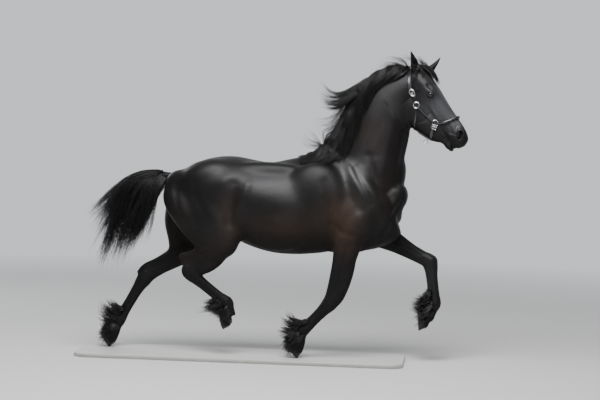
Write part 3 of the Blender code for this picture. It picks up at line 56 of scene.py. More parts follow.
# Camera: where it stands round the point it looks at, and how it is held
AIM = (0.40, 0.0, 1.144)
AZIMUTH, DISTANCE, EYE_LEVEL, ROLL, LENS = 6.0, 10.5, 1.43, 1.4, 88.2
SENSOR_WIDTH = 36.0

# Driving dimensions of the horse
SEED = 11
FINE = 2
SKIN_VOXEL = 0.0092
SKIN_DEPTH = 0.002
# Joints of each leg, (x, y, z): the bones of one leg run from each joint to the next
FORE_JOINTS = {
    "right": [(0.985, -0.165, 1.085), (0.765, -0.165, 0.845), (0.648, -0.145, 0.397),
              (0.456, -0.120, 0.192), (0.418, -0.115, 0.108)],
    "left": [(1.030, 0.165, 1.125), (0.925, 0.160, 0.895), (1.338, 0.140, 0.690),
             (1.378, 0.125, 0.386), (1.328, 0.120, 0.290)],
}
HIND_JOINTS = {
    "right": [(-0.290, -0.135, 1.180), (-0.105, -0.185, 0.800), (-0.372, -0.140, 0.592),
              (-0.085, -0.125, 0.368), (-0.068, -0.120, 0.285)],
    "left": [(-0.310, 0.135, 1.180), (-0.330, 0.180, 0.775), (-0.735, 0.135, 0.522),
             (-0.925, 0.115, 0.190), (-0.969, 0.112, 0.107)],
}
# How far each hoof is turned heel up from flat
HOOF_TURN = {"fore_right": 53, "fore_left": 86, "hind_right": 78, "hind_left": 64}
# The head: the poll, and how far the face is tipped down and turned left from straight ahead
POLL = np.array([1.205, -0.030, 2.075])
HEAD_PITCH, HEAD_YAW = 54.5, -16.0
EYE = (0.238, 0.078, -0.004)
EYE_RADIUS = 0.024
SKIN_ROUNDS = 42
SKIN_TRIANGLES = 194000
# How far the lids' outer face is from the eyeball's middle, how softly the skin rises to it, and from where
LID = EYE_RADIUS + 0.0030
LID_BLEND, LID_REACH = 0.0024, 0.060
# Length, width and height of the base, the radius of its corners and of its upper edge
BASE_SIZE = (2.34, 0.62, 0.030)
BASE_CORNER, BASE_EDGE = 0.10, 0.006
SIDES = {-1: "right", 1: "left"}
JOINTS = {"fore_" + side: joints for side, joints in FORE_JOINTS.items()}
JOINTS.update({"hind_" + side: joints for side, joints in HIND_JOINTS.items()})
# Levels between the legs and the trunk, and between the trunk and the neck and head
LEG_TOP, TRUNK_TOP = 0.62, 1.35

# Hair: locks in each layer of the mane with how far they fall and lie off the skin; locks elsewhere, and
# strands in one lock; tufts of short coat, and lashes and whiskers on either side
MANE_LAYERS = [(120, 1.0, 0.004), (90, 0.85, 0.014), (50, 0.62, 0.024)]
TAIL_LOCKS, FEATHER_LOCKS, SKIRT_LOCKS = 150, 115, 88
MANE_STRANDS, TAIL_STRANDS, FEATHER_STRANDS, SKIRT_STRANDS = 32, 32, 17, 10
SHORT_TUFTS, LASHES, WHISKERS = 8500, 34, 46
# How deep a root sits in the skin, and how wide a strand's own patch of the unwrap is
ROOT_DEPTH, STRAND_PATCH = 0.002, 0.003


# Points and frames. Every form is made in metres above the ground that the hooves stand on.


def smooth_rows(rows, steps):
    """Rows of numbers, with steps - 1 more between each two, on one Catmull-Rom curve through them all."""
    rows = np.asarray(rows, float)
    held = np.vstack([2 * rows[0] - rows[1], rows, 2 * rows[-1] - rows[-2]])
    t = (np.arange(steps) / steps)[:, None]
    spans = []
    for a, b, c, d in zip(held[:-3], held[1:-2], held[2:-1], held[3:]):
        bend = (2 * a - 5 * b + 4 * c - d) * t**2 + (3 * b - a - 3 * c + d) * t**3
        spans.append(b + 0.5 * ((c - a) * t + bend))
    return np.vstack([*spans, rows[-1:]])


def unit(v):
    """The vector, or each row of vectors, at length one."""
    v = np.asarray(v, float)
    return v / np.maximum(np.linalg.norm(v, axis=-1, keepdims=True), 1e-12)


def clipped(v):
    """The values held between 0 and 1."""
    return np.clip(v, 0, 1)


def circle(count, offset=0.0):
    """The angles of count points round a circle, with their cosines and sines."""
    turn = (np.arange(count) + offset) * 2 * math.pi / count
    return turn, np.cos(turn), np.sin(turn)


def signed_power(v, power):
    """The values with their size raised to a power and their sign kept: squarer than a circle below one."""
    return np.sign(v) * np.abs(v) ** power


def columns_at(rows, step):
    """Each column of a table of rows, read at steps between them."""
    return [np.interp(step, np.arange(len(rows)), column) for column in rows.T]


def tube(rows, across=(0, 1, 0), sides=28, steps=5):
    """A closed tube through rows of (x, y, z, side, fore, hind, square, pinch).

    A ring is a rounded box: half as wide as side along across, fore deep towards the front or top and hind
    deep behind or below. The power 2 / square rounds its corners, and pinch narrows the fore half at its tip.
    """
    sides = sides * FINE
    rows = smooth_rows([list(row) + [2.0, 0.0][len(row) - 6 :] for row in rows], steps * FINE)
    centre, side, fore, hind, square, pinch = rows[:, :3], *rows[:, 3:8].T
    along = unit(np.gradient(centre, axis=0))
    wide = unit(np.asarray(across, float) - (along @ np.asarray(across, float))[:, None] * along)
    deep = np.cross(along, wide)
    _, c, s = circle(sides)
    power = (2 / np.maximum(square, 1.2))[:, None]
    w = signed_power(c, power) * side[:, None]
    w = w * (1 - pinch[:, None] * clipped(s) ** 1.5)
    d = signed_power(s, power) * np.where(s >= 0, fore[:, None], hind[:, None])
    rings = centre[:, None] + w[..., None] * wide[:, None] + d[..., None] * deep[:, None]
    return capped(rings)


def capped(rings):
    """Vertices and faces of a stack of rings, each joined to the next, with a fan of faces at either end."""
    count, sides = rings.shape[:2]
    points = np.vstack([rings.reshape(-1, 3), rings[0].mean(0), rings[-1].mean(0)])
    i, j = np.meshgrid(np.arange(count - 1), np.arange(sides), indexing="ij")
    k = (j + 1) % sides
    walls = np.stack([i * sides + j, i * sides + k, (i + 1) * sides + k, (i + 1) * sides + j], -1)
    ring = np.arange(sides)
    turned = np.roll(ring, -1)
    first, last = count * sides, count * sides + 1
    top = (count - 1) * sides
    faces = walls.reshape(-1, 4).tolist()
    faces += np.stack([turned, ring, np.full(sides, first)], -1).tolist()
    faces += np.stack([top + ring, top + turned, np.full(sides, last)], -1).tolist()
    return points, faces


def ball(centre, radii, pitch=0.0, yaw=0.0, sides=24):
    """An ellipsoid of radii (length, width, height), its nose tipped down by pitch and turned left by yaw."""
    sides = sides * FINE
    lat = np.linspace(-math.pi / 2, math.pi / 2, sides // 2 + 1)[1:-1, None]
    _, c, s = circle(sides)
    rings = np.stack([np.sin(lat) + 0 * c, np.cos(lat) * c, np.cos(lat) * s], -1)
    points, faces = capped(rings)
    points[-2:] = [(-1, 0, 0), (1, 0, 0)]
    return points * np.asarray(radii) @ turned(pitch, yaw).T + np.asarray(centre), faces


def turned(pitch, yaw, roll=0.0):
    """The matrix that rolls about X, tips the nose down by pitch about Y, then turns left by yaw about Z."""
    p, y, r = math.radians(pitch), math.radians(yaw), math.radians(roll)
    tip = np.array([[math.cos(p), 0, math.sin(p)], [0, 1, 0], [-math.sin(p), 0, math.cos(p)]])
    veer = np.array([[math.cos(y), -math.sin(y), 0], [math.sin(y), math.cos(y), 0], [0, 0, 1]])
    lean = np.array([[1, 0, 0], [0, math.cos(r), -math.sin(r)], [0, math.sin(r), math.cos(r)]])
    return veer @ tip @ lean


def both(form):
    """A form and its mirror image on the other side of the horse."""
    points, faces = form
    return [form, (points * (1, -1, 1), [face[::-1] for face in faces])]


def profile(table):
    """A tube's rows from rows of (place, top, underside, half width, widest level, square, pinch)."""
    rows = []
    for place, top, under, side, level, square, pinch in table:
        middle = under + (top - under) * level
        rows.append((place, 0, middle, side, top - middle, middle - under, square, pinch))
    return rows


# The trunk and neck


# Trunk, rear to front: (x, top, underside, half width, widest level from below, square, pinch)
TRUNK = [
    (-0.535, 1.185, 1.080, 0.060, 0.50, 2.0, 0.0),
    (-0.500, 1.245, 1.010, 0.125, 0.55, 2.1, 0.0),
    (-0.430, 1.305, 0.950, 0.190, 0.58, 2.2, 0.1),
    (-0.330, 1.360, 0.915, 0.245, 0.58, 2.2, 0.1),
    (-0.220, 1.408, 0.885, 0.275, 0.58, 2.2, 0.1),
    (-0.110, 1.424, 0.875, 0.287, 0.55, 2.2, 0.1),
    (0.000, 1.411, 0.838, 0.300, 0.52, 2.1, 0.1),
    (0.120, 1.399, 0.770, 0.308, 0.50, 2.1, 0.1),
    (0.250, 1.400, 0.730, 0.305, 0.49, 2.1, 0.15),
    (0.380, 1.418, 0.724, 0.292, 0.48, 2.1, 0.25),
    (0.500, 1.440, 0.734, 0.270, 0.47, 2.1, 0.4),
    (0.620, 1.445, 0.746, 0.248, 0.46, 2.1, 0.45),
    (0.750, 1.400, 0.752, 0.232, 0.46, 2.1, 0.4),
    (0.880, 1.370, 0.768, 0.218, 0.46, 2.1, 0.3),
    (0.990, 1.330, 0.815, 0.195, 0.48, 2.1, 0.2),
    (1.075, 1.275, 0.915, 0.150, 0.50, 2.1, 0.1),
    (1.133, 1.205, 0.985, 0.090, 0.50, 2.0, 0.0),
]
# Neck, base to poll: (crest x, z), (throat side x, z), y, half width, square, pinch
NECK = [
    ((0.40, 1.36), (0.92, 0.98), 0.000, 0.180, 2.1, 0.45),
    ((0.50, 1.43), (1.10, 1.12), 0.000, 0.185, 2.1, 0.50),
    ((0.58, 1.49), (1.138, 1.24), 0.000, 0.172, 2.1, 0.55),
    ((0.655, 1.60), (1.122, 1.36), -0.003, 0.150, 2.1, 0.60),
    ((0.715, 1.72), (1.138, 1.475), -0.008, 0.130, 2.1, 0.60),
    ((0.775, 1.845), (1.146, 1.575), -0.014, 0.115, 2.1, 0.58),
    ((0.855, 1.945), (1.155, 1.660), -0.020, 0.103, 2.1, 0.55),
    ((0.960, 2.020), (1.175, 1.740), -0.025, 0.094, 2.1, 0.50),
    ((1.075, 2.055), (1.215, 1.830), -0.028, 0.086, 2.1, 0.40),
    ((1.165, 2.050), (1.265, 1.900), -0.030, 0.072, 2.0, 0.25),
]


def neck_form():
    """The neck from inside the shoulders to the poll, narrow at the crest and full below it."""
    rows = []
    for crest, throat, y, side, square, pinch in NECK:
        crest, throat = np.array(crest), np.array(throat)
        middle = crest + (throat - crest) * 0.55
        deep = np.linalg.norm(throat - crest)
        rows.append((middle[0], y, middle[1], side, deep * 0.55, deep * 0.45, square, pinch))
    return tube(rows, sides=36)


# What both sides of the trunk share: (centre), (length, width, height), pitch, yaw
TRUNK_MUSCLES = [
    ((-0.235, 0.125, 1.245), (0.235, 0.135, 0.150), -12, 0),
    ((-0.105, 0.240, 1.200), (0.055, 0.045, 0.045), -20, 10),
    ((-0.420, 0.105, 1.180), (0.150, 0.095, 0.130), 40, 0),
    ((0.150, 0.130, 1.315), (0.340, 0.080, 0.070), 0, 0),
    ((0.520, 0.170, 1.130), (0.240, 0.110, 0.260), 10, 0),
    ((0.250, 0.140, 0.960), (0.320, 0.170, 0.210), 3, 0),
    ((1.072, 0.065, 1.150), (0.098, 0.085, 0.115), 20, 0),
    ((0.960, 0.080, 0.890), (0.140, 0.085, 0.085), -30, 0),
    ((0.720, 0.070, 0.800), (0.200, 0.080, 0.055), 0, 0),
]

# The limbs


# Sections of a foreleg: (bone, place along it, fore, hind, side)
FORE_SECTIONS = [
    (1, -0.10, 0.075, 0.080, 0.055),
    (1, 0.05, 0.100, 0.100, 0.066),
    (1, 0.22, 0.098, 0.085, 0.066),
    (1, 0.42, 0.079, 0.068, 0.056),
    (1, 0.65, 0.060, 0.058, 0.046),
    (1, 0.85, 0.054, 0.053, 0.045),
    (1, 0.98, 0.057, 0.056, 0.050),
    (2, 0.12, 0.052, 0.054, 0.045),
    (2, 0.30, 0.044, 0.046, 0.034),
    (2, 0.55, 0.042, 0.044, 0.032),
    (2, 0.80, 0.043, 0.047, 0.035),
    (2, 0.98, 0.046, 0.054, 0.043),
    (3, 0.45, 0.038, 0.046, 0.039),
    (3, 0.85, 0.043, 0.044, 0.044),
    (3, 1.10, 0.046, 0.044, 0.047),
]
HIND_SECTIONS = [
    (0, 0.80, 0.125, 0.150, 0.105),
    (0, 0.98, 0.105, 0.145, 0.100),
    (1, 0.22, 0.082, 0.125, 0.084),
    (1, 0.48, 0.066, 0.090, 0.064),
    (1, 0.75, 0.052, 0.066, 0.047),
    (1, 0.96, 0.056, 0.062, 0.050),
    (2, 0.10, 0.056, 0.058, 0.049),
    (2, 0.28, 0.041, 0.050, 0.037),
    (2, 0.55, 0.037, 0.046, 0.033),
    (2, 0.80, 0.039, 0.047, 0.036),
    (2, 0.98, 0.048, 0.053, 0.044),
    (3, 0.45, 0.040, 0.046, 0.040),
    (3, 0.85, 0.044, 0.044, 0.044),
    (3, 1.10, 0.046, 0.044, 0.047),
]


def limb_form(joints, sections):
    """A leg from its sections, each square to the leg's own line through the joints."""
    joints = np.asarray(joints, float)
    rows = []
    for bone, place, fore, hind, side in sections:
        at = joints[bone] + (joints[bone + 1] - joints[bone]) * place
        rows.append((*at, side, fore, hind, 2.15))
    return tube(rows, sides=24, steps=6)


def bone_ball(joints, bone, place, offset, radii, lean=0.0):
    """An ellipsoid along a bone: offset (fore, side) from its line, radii (length, side, fore)."""
    joints = np.asarray(joints, float)
    start, end = joints[bone], joints[bone + 1]
    along = unit(end - start)
    fore = np.array([-along[2], 0, along[0]])
    centre = start + (end - start) * place + fore * offset[0] + np.array([0, offset[1], 0])
    return ball(centre, radii, math.degrees(math.atan2(-along[2], along[0])) + lean)


def fore_forms(side):
    """One foreleg with its shoulder blade, upper arm, point of elbow and knee."""
    joints = FORE_JOINTS[side]
    sign = 1 if side == "left" else -1
    point, elbow = np.array(joints[0]), np.array(joints[1])
    top = np.array([0.600 if side == "left" else 0.560, sign * 0.070, 1.400])
    blade = [
        (*top, 0.035, 0.060, 0.100),
        (*(top * 0.65 + point * 0.35 + (0, sign * 0.035, 0)), 0.050, 0.110, 0.150, 2.0),
        (*(top * 0.3 + point * 0.7 + (0, sign * 0.030, 0)), 0.065, 0.110, 0.130, 2.0),
        (*(point + (-0.01, sign * -0.005, 0)), 0.060, 0.085, 0.085, 2.0),
    ]
    arm = [
        (*(point + (-0.06, sign * -0.01, 0.05)), 0.055, 0.080, 0.085),
        (*(point * 0.5 + elbow * 0.5 + (-0.02, sign * 0.005, 0.02)), 0.072, 0.115, 0.130),
        (*(elbow + (-0.005, sign * 0.002, 0.03)), 0.068, 0.100, 0.100),
        (*(elbow * 0.8 + np.array(joints[2]) * 0.2), 0.058, 0.085, 0.080),
    ]
    triceps = top * 0.45 + elbow * 0.55 + np.array([-0.01, sign * 0.055, 0])
    forms = [
        tube(blade, sides=28),
        tube(arm, sides=28),
        limb_form(joints, FORE_SECTIONS),
        ball(point + (-0.015, sign * -0.012, -0.005), (0.085, 0.062, 0.095), 30),
        ball(triceps, (0.150, 0.055, 0.115), -50 if side == "right" else -35),
        bone_ball(joints, 1, 0.16, (0.045, sign * 0.020), (0.115, 0.042, 0.050), 4),
        bone_ball(joints, 1, 0.20, (-0.035, sign * 0.012), (0.120, 0.045, 0.045), -5),
        bone_ball(joints, 1, 1.0, (0.014, 0), (0.050, 0.051, 0.043)),
        bone_ball(joints, 2, 0.06, (-0.040, 0), (0.032, 0.022, 0.020)),
        bone_ball(joints, 2, 1.0, (-0.034, 0), (0.034, 0.032, 0.026)),
    ]
    if side == "right":
        forms.append(bone_ball(joints, 1, 0.52, (0.050, 0), (0.230, 0.043, 0.053)))
    return forms


def hind_forms(side):
    """One hind leg with its thigh, hamstrings, stifle and point of hock."""
    joints = HIND_JOINTS[side]
    sign = 1 if side == "left" else -1
    hip, stifle, hock = (np.array(j) for j in joints[:3])
    thigh = [
        (*(hip + (0, 0, 0.06)), 0.090, 0.150, 0.160),
        (*(hip * 0.65 + stifle * 0.35), 0.128, 0.185, 0.190),
        (*(hip * 0.3 + stifle * 0.7), 0.122, 0.160, 0.190),
        (*stifle, 0.098, 0.100, 0.140),
        (*(stifle * 0.75 + hock * 0.25), 0.080, 0.080, 0.115),
    ]
    seat = np.array([-0.470, sign * 0.100, 1.180])
    calf = stifle * 0.62 + hock * 0.38 + np.array([-0.040, 0, 0.035])
    ham = [
        (*(seat + (0.03, 0, 0.06)), 0.060, 0.100, 0.070),
        (*(seat + (0.0, sign * 0.02, -0.06)), 0.092, 0.130, 0.105),
        (*(seat * 0.5 + calf * 0.5 + (-0.018, sign * 0.035, 0)), 0.100, 0.130, 0.100),
        (*(seat * 0.2 + calf * 0.8 + (0, sign * 0.015, 0)), 0.078, 0.100, 0.075),
        (*calf, 0.058, 0.070, 0.050),
    ]
    shank = unit(hock - stifle)
    reach, heel_size = (-0.108, 0.034) if side == "right" else (-0.066, 0.025)
    heel = hock - shank * 0.030 + np.array([-shank[2], 0, shank[0]]) * reach
    cord = [
        (*calf, 0.040, 0.045, 0.040),
        (*(calf * 0.4 + heel * 0.6), 0.024, 0.030, 0.024),
        (*heel, 0.024, heel_size, heel_size),
        (*(heel + (np.array(joints[3]) - hock) * 0.14 + shank * 0.02), 0.026, 0.032, 0.026),
    ]
    forms = [
        tube(thigh, sides=32),
        tube(ham, sides=28),
        tube(cord, sides=16),
        limb_form(joints, HIND_SECTIONS),
        bone_ball(joints, 1, 0.02, (0.050, sign * 0.010), (0.075, 0.055, 0.050)),
        bone_ball(joints, 2, 0.02, (0.010, 0), (0.062, 0.052, 0.050)),
        bone_ball(joints, 2, 1.0, (-0.034, 0), (0.034, 0.032, 0.026)),
    ]
    if side == "right":
        forms.append(bone_ball(joints, 1, 0.46, (0.058, 0), (0.130, 0.055, 0.052)))
    return forms


def dock_form():
    """The fleshy root of the tail, carried level and then dropping."""
    rows = [
        (-0.400, 0, 1.270, 0.045, 0.045, 0.050),
        (-0.480, 0, 1.258, 0.040, 0.036, 0.044),
        (-0.560, 0, 1.262, 0.034, 0.031, 0.036),
        (-0.640, 0, 1.262, 0.029, 0.027, 0.030),
        (-0.710, 0, 1.245, 0.024, 0.023, 0.025),
        (-0.765, 0, 1.200, 0.018, 0.018, 0.018),
        (-0.790, 0, 1.150, 0.009, 0.009, 0.009),
    ]
    return tube(rows[::-1], sides=20)


def body_forms():
    """Every form of the trunk, neck and limbs; together they are the horse without its head and hooves."""
    forms = [tube(profile(TRUNK), sides=40), neck_form(), dock_form()]
    for muscle in TRUNK_MUSCLES:
        forms += both(ball(*muscle))
    for side in ("left", "right"):
        forms += fore_forms(side) + hind_forms(side)
    return forms


# The head, in its own frame: s from the poll to the lips, t towards the face, y to the left


HEAD_AXES = turned(HEAD_PITCH, HEAD_YAW)
# Skull and face: (s, dorsal t, lower t, half width, widest level from below, square, pinch)
SKULL = [
    (-0.035, -0.020, -0.110, 0.045, 0.5, 2.0, 0.0),
    (0.010, 0.018, -0.160, 0.068, 0.5, 2.1, 0.1),
    (0.075, 0.044, -0.200, 0.083, 0.6, 2.2, 0.1),
    (0.150, 0.053, -0.210, 0.092, 0.7, 2.4, 0.1),
    (0.215, 0.052, -0.190, 0.093, 0.75, 2.6, 0.1),
    (0.280, 0.051, -0.150, 0.080, 0.7, 2.5, 0.1),
    (0.350, 0.050, -0.125, 0.068, 0.6, 2.3, 0.15),
    (0.420, 0.050, -0.110, 0.058, 0.5, 2.2, 0.2),
    (0.490, 0.052, -0.100, 0.052, 0.45, 2.2, 0.2),
    (0.550, 0.051, -0.098, 0.052, 0.42, 2.2, 0.15),
    (0.600, 0.042, -0.092, 0.054, 0.42, 2.3, 0.1),
    (0.635, 0.016, -0.086, 0.050, 0.42, 2.3, 0.0),
    (0.657, -0.022, -0.074, 0.036, 0.5, 2.1, 0.0),
]
JAW = [
    (0.120, -0.110, -0.215, 0.050, 0.5, 2.0, 0.0),
    (0.170, -0.060, -0.250, 0.072, 0.5, 2.1, 0.0),
    (0.240, -0.040, -0.270, 0.080, 0.5, 2.2, 0.0),
    (0.320, -0.040, -0.268, 0.076, 0.5, 2.2, 0.0),
    (0.400, -0.045, -0.236, 0.064, 0.5, 2.2, 0.0),
    (0.470, -0.050, -0.205, 0.049, 0.5, 2.2, 0.0),
    (0.530, -0.060, -0.162, 0.040, 0.5, 2.2, 0.0),
    (0.580, -0.085, -0.138, 0.036, 0.5, 2.2, 0.0),
    (0.615, -0.095, -0.134, 0.034, 0.5, 2.1, 0.0),
    (0.643, -0.098, -0.122, 0.022, 0.5, 2.0, 0.0),
]
# Both sides of the head: (s, y, t), (length, width, height), pitch, yaw, in the head's frame
HEAD_BUMPS = [
    ((0.215, 0.066, 0.006), (0.058, 0.026, 0.026), -6, -6),
    ((0.262, 0.064, -0.026), (0.045, 0.022, 0.016), 10, -8),
    ((0.265, 0.045, -0.160), (0.115, 0.042, 0.100), 0, -5),
    ((0.345, 0.050, -0.055), (0.090, 0.020, 0.012), 3, -8),
    ((0.572, 0.034, 0.004), (0.042, 0.024, 0.030), 25, 4),
    ((0.595, 0.026, -0.060), (0.045, 0.022, 0.028), 0, 0),
    ((0.040, 0.052, -0.015), (0.040, 0.026, 0.030), 0, 0),
]


def at_head(points):
    """Points of the head's frame, rows of (s, y, t), placed on the horse."""
    return np.asarray(points, float) @ HEAD_AXES.T + POLL


def in_head(points):
    """Points of the horse in the head's frame."""
    return (points - POLL) @ HEAD_AXES


def head_forms():
    """The skull, jaw, cheeks, brows, facial crests, nostril rims, lips and chin."""
    forms = [tube(profile(table), sides=32, steps=6) for table in (SKULL, JAW)]
    for bump in HEAD_BUMPS:
        forms += both(ball(*bump))
    forms.append(ball((0.588, 0, -0.122), (0.034, 0.030, 0.020), -8))
    return [(at_head(points), faces) for points, faces in forms]


# Curves and the neck's surface, which hair is laid by


def bezier(points, steps):
    """Curves at steps places each, drawn by four control points that are arrays of rows, one row a curve."""
    a, b, c, d = (np.asarray(p, float)[..., None, :] for p in points)
    t = np.linspace(0, 1, steps)[:, None]
    return (1 - t) ** 3 * a + 3 * (1 - t) ** 2 * t * b + 3 * (1 - t) * t**2 * c + t**3 * d


NECK_ROWS = smooth_rows(
    [(c[0], c[1], t[0], t[1], y, side, pinch) for c, t, y, side, _, pinch in NECK], 12
)


def neck_skin(u, drop, lift, side=-1):
    """Points over the neck: u from the withers to the poll, drop down from the crest, lift off the skin.

    The side is -1 for the horse's right. Each ring of the neck is an ellipse with a crest narrowed by pinch.
    """
    u, drop, lift = np.broadcast_arrays(*(np.asarray(v, float) for v in (u, drop, lift)))
    cx, cz, tx, tz, y, wide, pinch = columns_at(NECK_ROWS, clipped(u) * (len(NECK_ROWS) - 1))
    deep = np.hypot(tx - cx, tz - cz)
    down = np.stack([(tx - cx) / deep, np.zeros_like(deep), (tz - cz) / deep], -1)
    fore = deep * 0.55
    s = np.clip(1 - np.abs(drop) / fore, -1, 1)
    c = np.sqrt(1 - s**2)
    out = wide * c * (1 - pinch * clipped(s) ** 1.5)
    sign = side * np.where(drop < 0, -1, 1)
    crest = np.stack([cx, y, cz], -1)
    across = np.array([0.0, 1.0, 0.0])
    base = crest + down * (fore * (1 - s))[..., None] + across * (sign * out)[..., None]
    normal = unit(-down * (s / fore)[..., None] + across * (sign * c / np.maximum(wide, 0.01))[..., None])
    return base + normal * lift[..., None]


# Meshes


def meshed(name, points, faces, smooth=True):
    """An object of points and faces, lifted on to the base. Faces are lists, or arrays of equal rows."""
    points = np.asarray(points, float) + (0, 0, GROUND)
    groups = faces if isinstance(faces, tuple) else (faces,)
    mesh = bpy.data.meshes.new(name)
    if isinstance(groups[0], list):
        mesh.from_pydata(points.tolist(), [], groups[0])
    else:
        corners = np.concatenate([g.ravel() for g in groups]).astype(np.int32)
        sizes = np.concatenate([np.full(len(g), g.shape[1]) for g in groups])
        mesh.vertices.add(len(points))
        mesh.vertices.foreach_set("co", points.ravel())
        mesh.loops.add(len(corners))
        mesh.loops.foreach_set("vertex_index", corners)
        mesh.polygons.add(len(sizes))
        mesh.polygons.foreach_set("loop_start", np.concatenate([[0], np.cumsum(sizes)[:-1]]).astype(np.int32))
    mesh.update(calc_edges=True)
    mesh.validate()
    if smooth:
        mesh.shade_smooth()
    thing = bpy.data.objects.new(name, mesh)
    bpy.context.scene.collection.objects.link(thing)
    return thing


def joined(forms):
    """Several forms as one, each still a closed shell of its own."""
    points, faces, count = [], [], 0
    for shell, sides in forms:
        points.append(shell)
        faces += [[i + count for i in side] for side in sides]
        count += len(shell)
    return np.vstack(points), faces


def outward(form):
    """The form with its faces turned outwards, told by the sign of its volume."""
    points, faces = form
    volume = sum(
        points[face[0]] @ np.cross(points[face[i]], points[face[i + 1]])
        for face in faces
        for i in range(1, len(face) - 1)
    )
    return form if volume > 0 else (points, [face[::-1] for face in faces])


def read(items, key, width=1, kind=float):
    """One property of all items of a mesh, such as its points' places, as rows."""
    values = np.empty(len(items) * width, kind)
    items.foreach_get(key, values)
    return values.reshape(-1, width)


def coordinates(thing):
    """The object's points as rows."""
    return read(thing.data.vertices, "co", 3)


def point_normals(thing):
    """The mesh's own direction at every point."""
    return read(thing.data.vertex_normals, "vector", 3)


def edge_pairs(thing):
    """The two point numbers of every edge."""
    return read(thing.data.edges, "vertices", 2, int).T


def moved(thing, points):
    """Gives the object's mesh new places for its points."""
    thing.data.vertices.foreach_set("co", np.asarray(points).ravel())
    thing.data.update()
    return thing


def mapped(thing, name, uv):
    """Gives the mesh a UV map with one pair of numbers for every point."""
    corners = read(thing.data.loops, "vertex_index", 1, int)[:, 0]
    thing.data.uv_layers.new(name=name).data.foreach_set("uv", uv[corners].ravel())


def marked(thing, **marks):
    """Stores numbers at the points of a mesh under their names."""
    for name, values in marks.items():
        held = thing.data.attributes.new(name, "FLOAT", "POINT")
        held.data.foreach_set("value", values.astype(np.float32))


def modified(thing, kind, **values):
    """Gives the object one modifier and applies it."""
    modifier = thing.modifiers.new(kind, kind)
    for key, value in values.items():
        setattr(modifier, key, value)
    held = thing.evaluated_get(bpy.context.evaluated_depsgraph_get())
    mesh = bpy.data.meshes.new_from_object(held)
    old = thing.data
    thing.modifiers.clear()
    thing.data = mesh
    bpy.data.meshes.remove(old)
    return thing


def combined(thing, tools, operation):
    """Adds closed objects to a closed one, or cuts them from it, and takes them away."""
    for tool in tools:
        modified(thing, "BOOLEAN", operation=operation, object=tool, solver="MANIFOLD")
        mesh = tool.data
        bpy.data.objects.remove(tool)
        bpy.data.meshes.remove(mesh)
    return thing


def relaxed(points, edges, weight, rounds):
    """Moves every point half way to the mean of its neighbours times its weight, some rounds over."""
    a, b = edges
    count = len(points)
    around = np.maximum(np.bincount(a, minlength=count) + np.bincount(b, minlength=count), 1)
    for _ in range(rounds):
        mean = np.stack(
            [np.bincount(a, points[b, k], count) + np.bincount(b, points[a, k], count) for k in range(3)], -1
        )
        points = points + (mean / around[:, None] - points) * weight[:, None] * 0.5
    return points


class Skin:
    """A surface to lay hair and straps on, in metres above the ground."""

    def __init__(self, thing):
        bm = bmesh.new()
        bm.from_mesh(thing.data)
        bm.transform(Matrix.Translation((0, 0, -GROUND)))
        self.tree = BVHTree.FromBMesh(bm)
        bm.free()

    def over(self, point, lift):
        """The point of the skin nearest to a point, lifted off it, and the skin's own direction there."""
        at, normal, _, _ = self.tree.find_nearest(Vector(point))
        normal = np.array(normal)
        return np.array(at) + normal * lift, normal

    def kept_clear(self, paths, lift):
        """The paths held at least lift above the skin, their roots set into it, and normals along them."""
        paths = np.array(paths)
        normals = np.empty_like(paths)
        for path, normal, least in zip(paths, normals, np.broadcast_to(lift, len(paths))):
            for k in range(len(path)):
                at, normal[k] = self.over(path[k], 0)
                high = (path[k] - at) @ normal[k]
                if k and high < least:
                    path[k] = at + normal[k] * least
                elif k == 0:
                    path[k] = at - normal[k] * ROOT_DEPTH
        return paths, normals


# The skin: the same forms as the solids, fused at a finer mesh and carved with the muscles' lines


# Where the mesh is made closer or wider than elsewhere: (centre, gain, reach) of swollen()
MESH_LENSES = [((0.25, 0.0, 1.05), -0.24, 0.60), (tuple(at_head([[0.42, 0, -0.05]])[0]), 1.20, 0.33)]
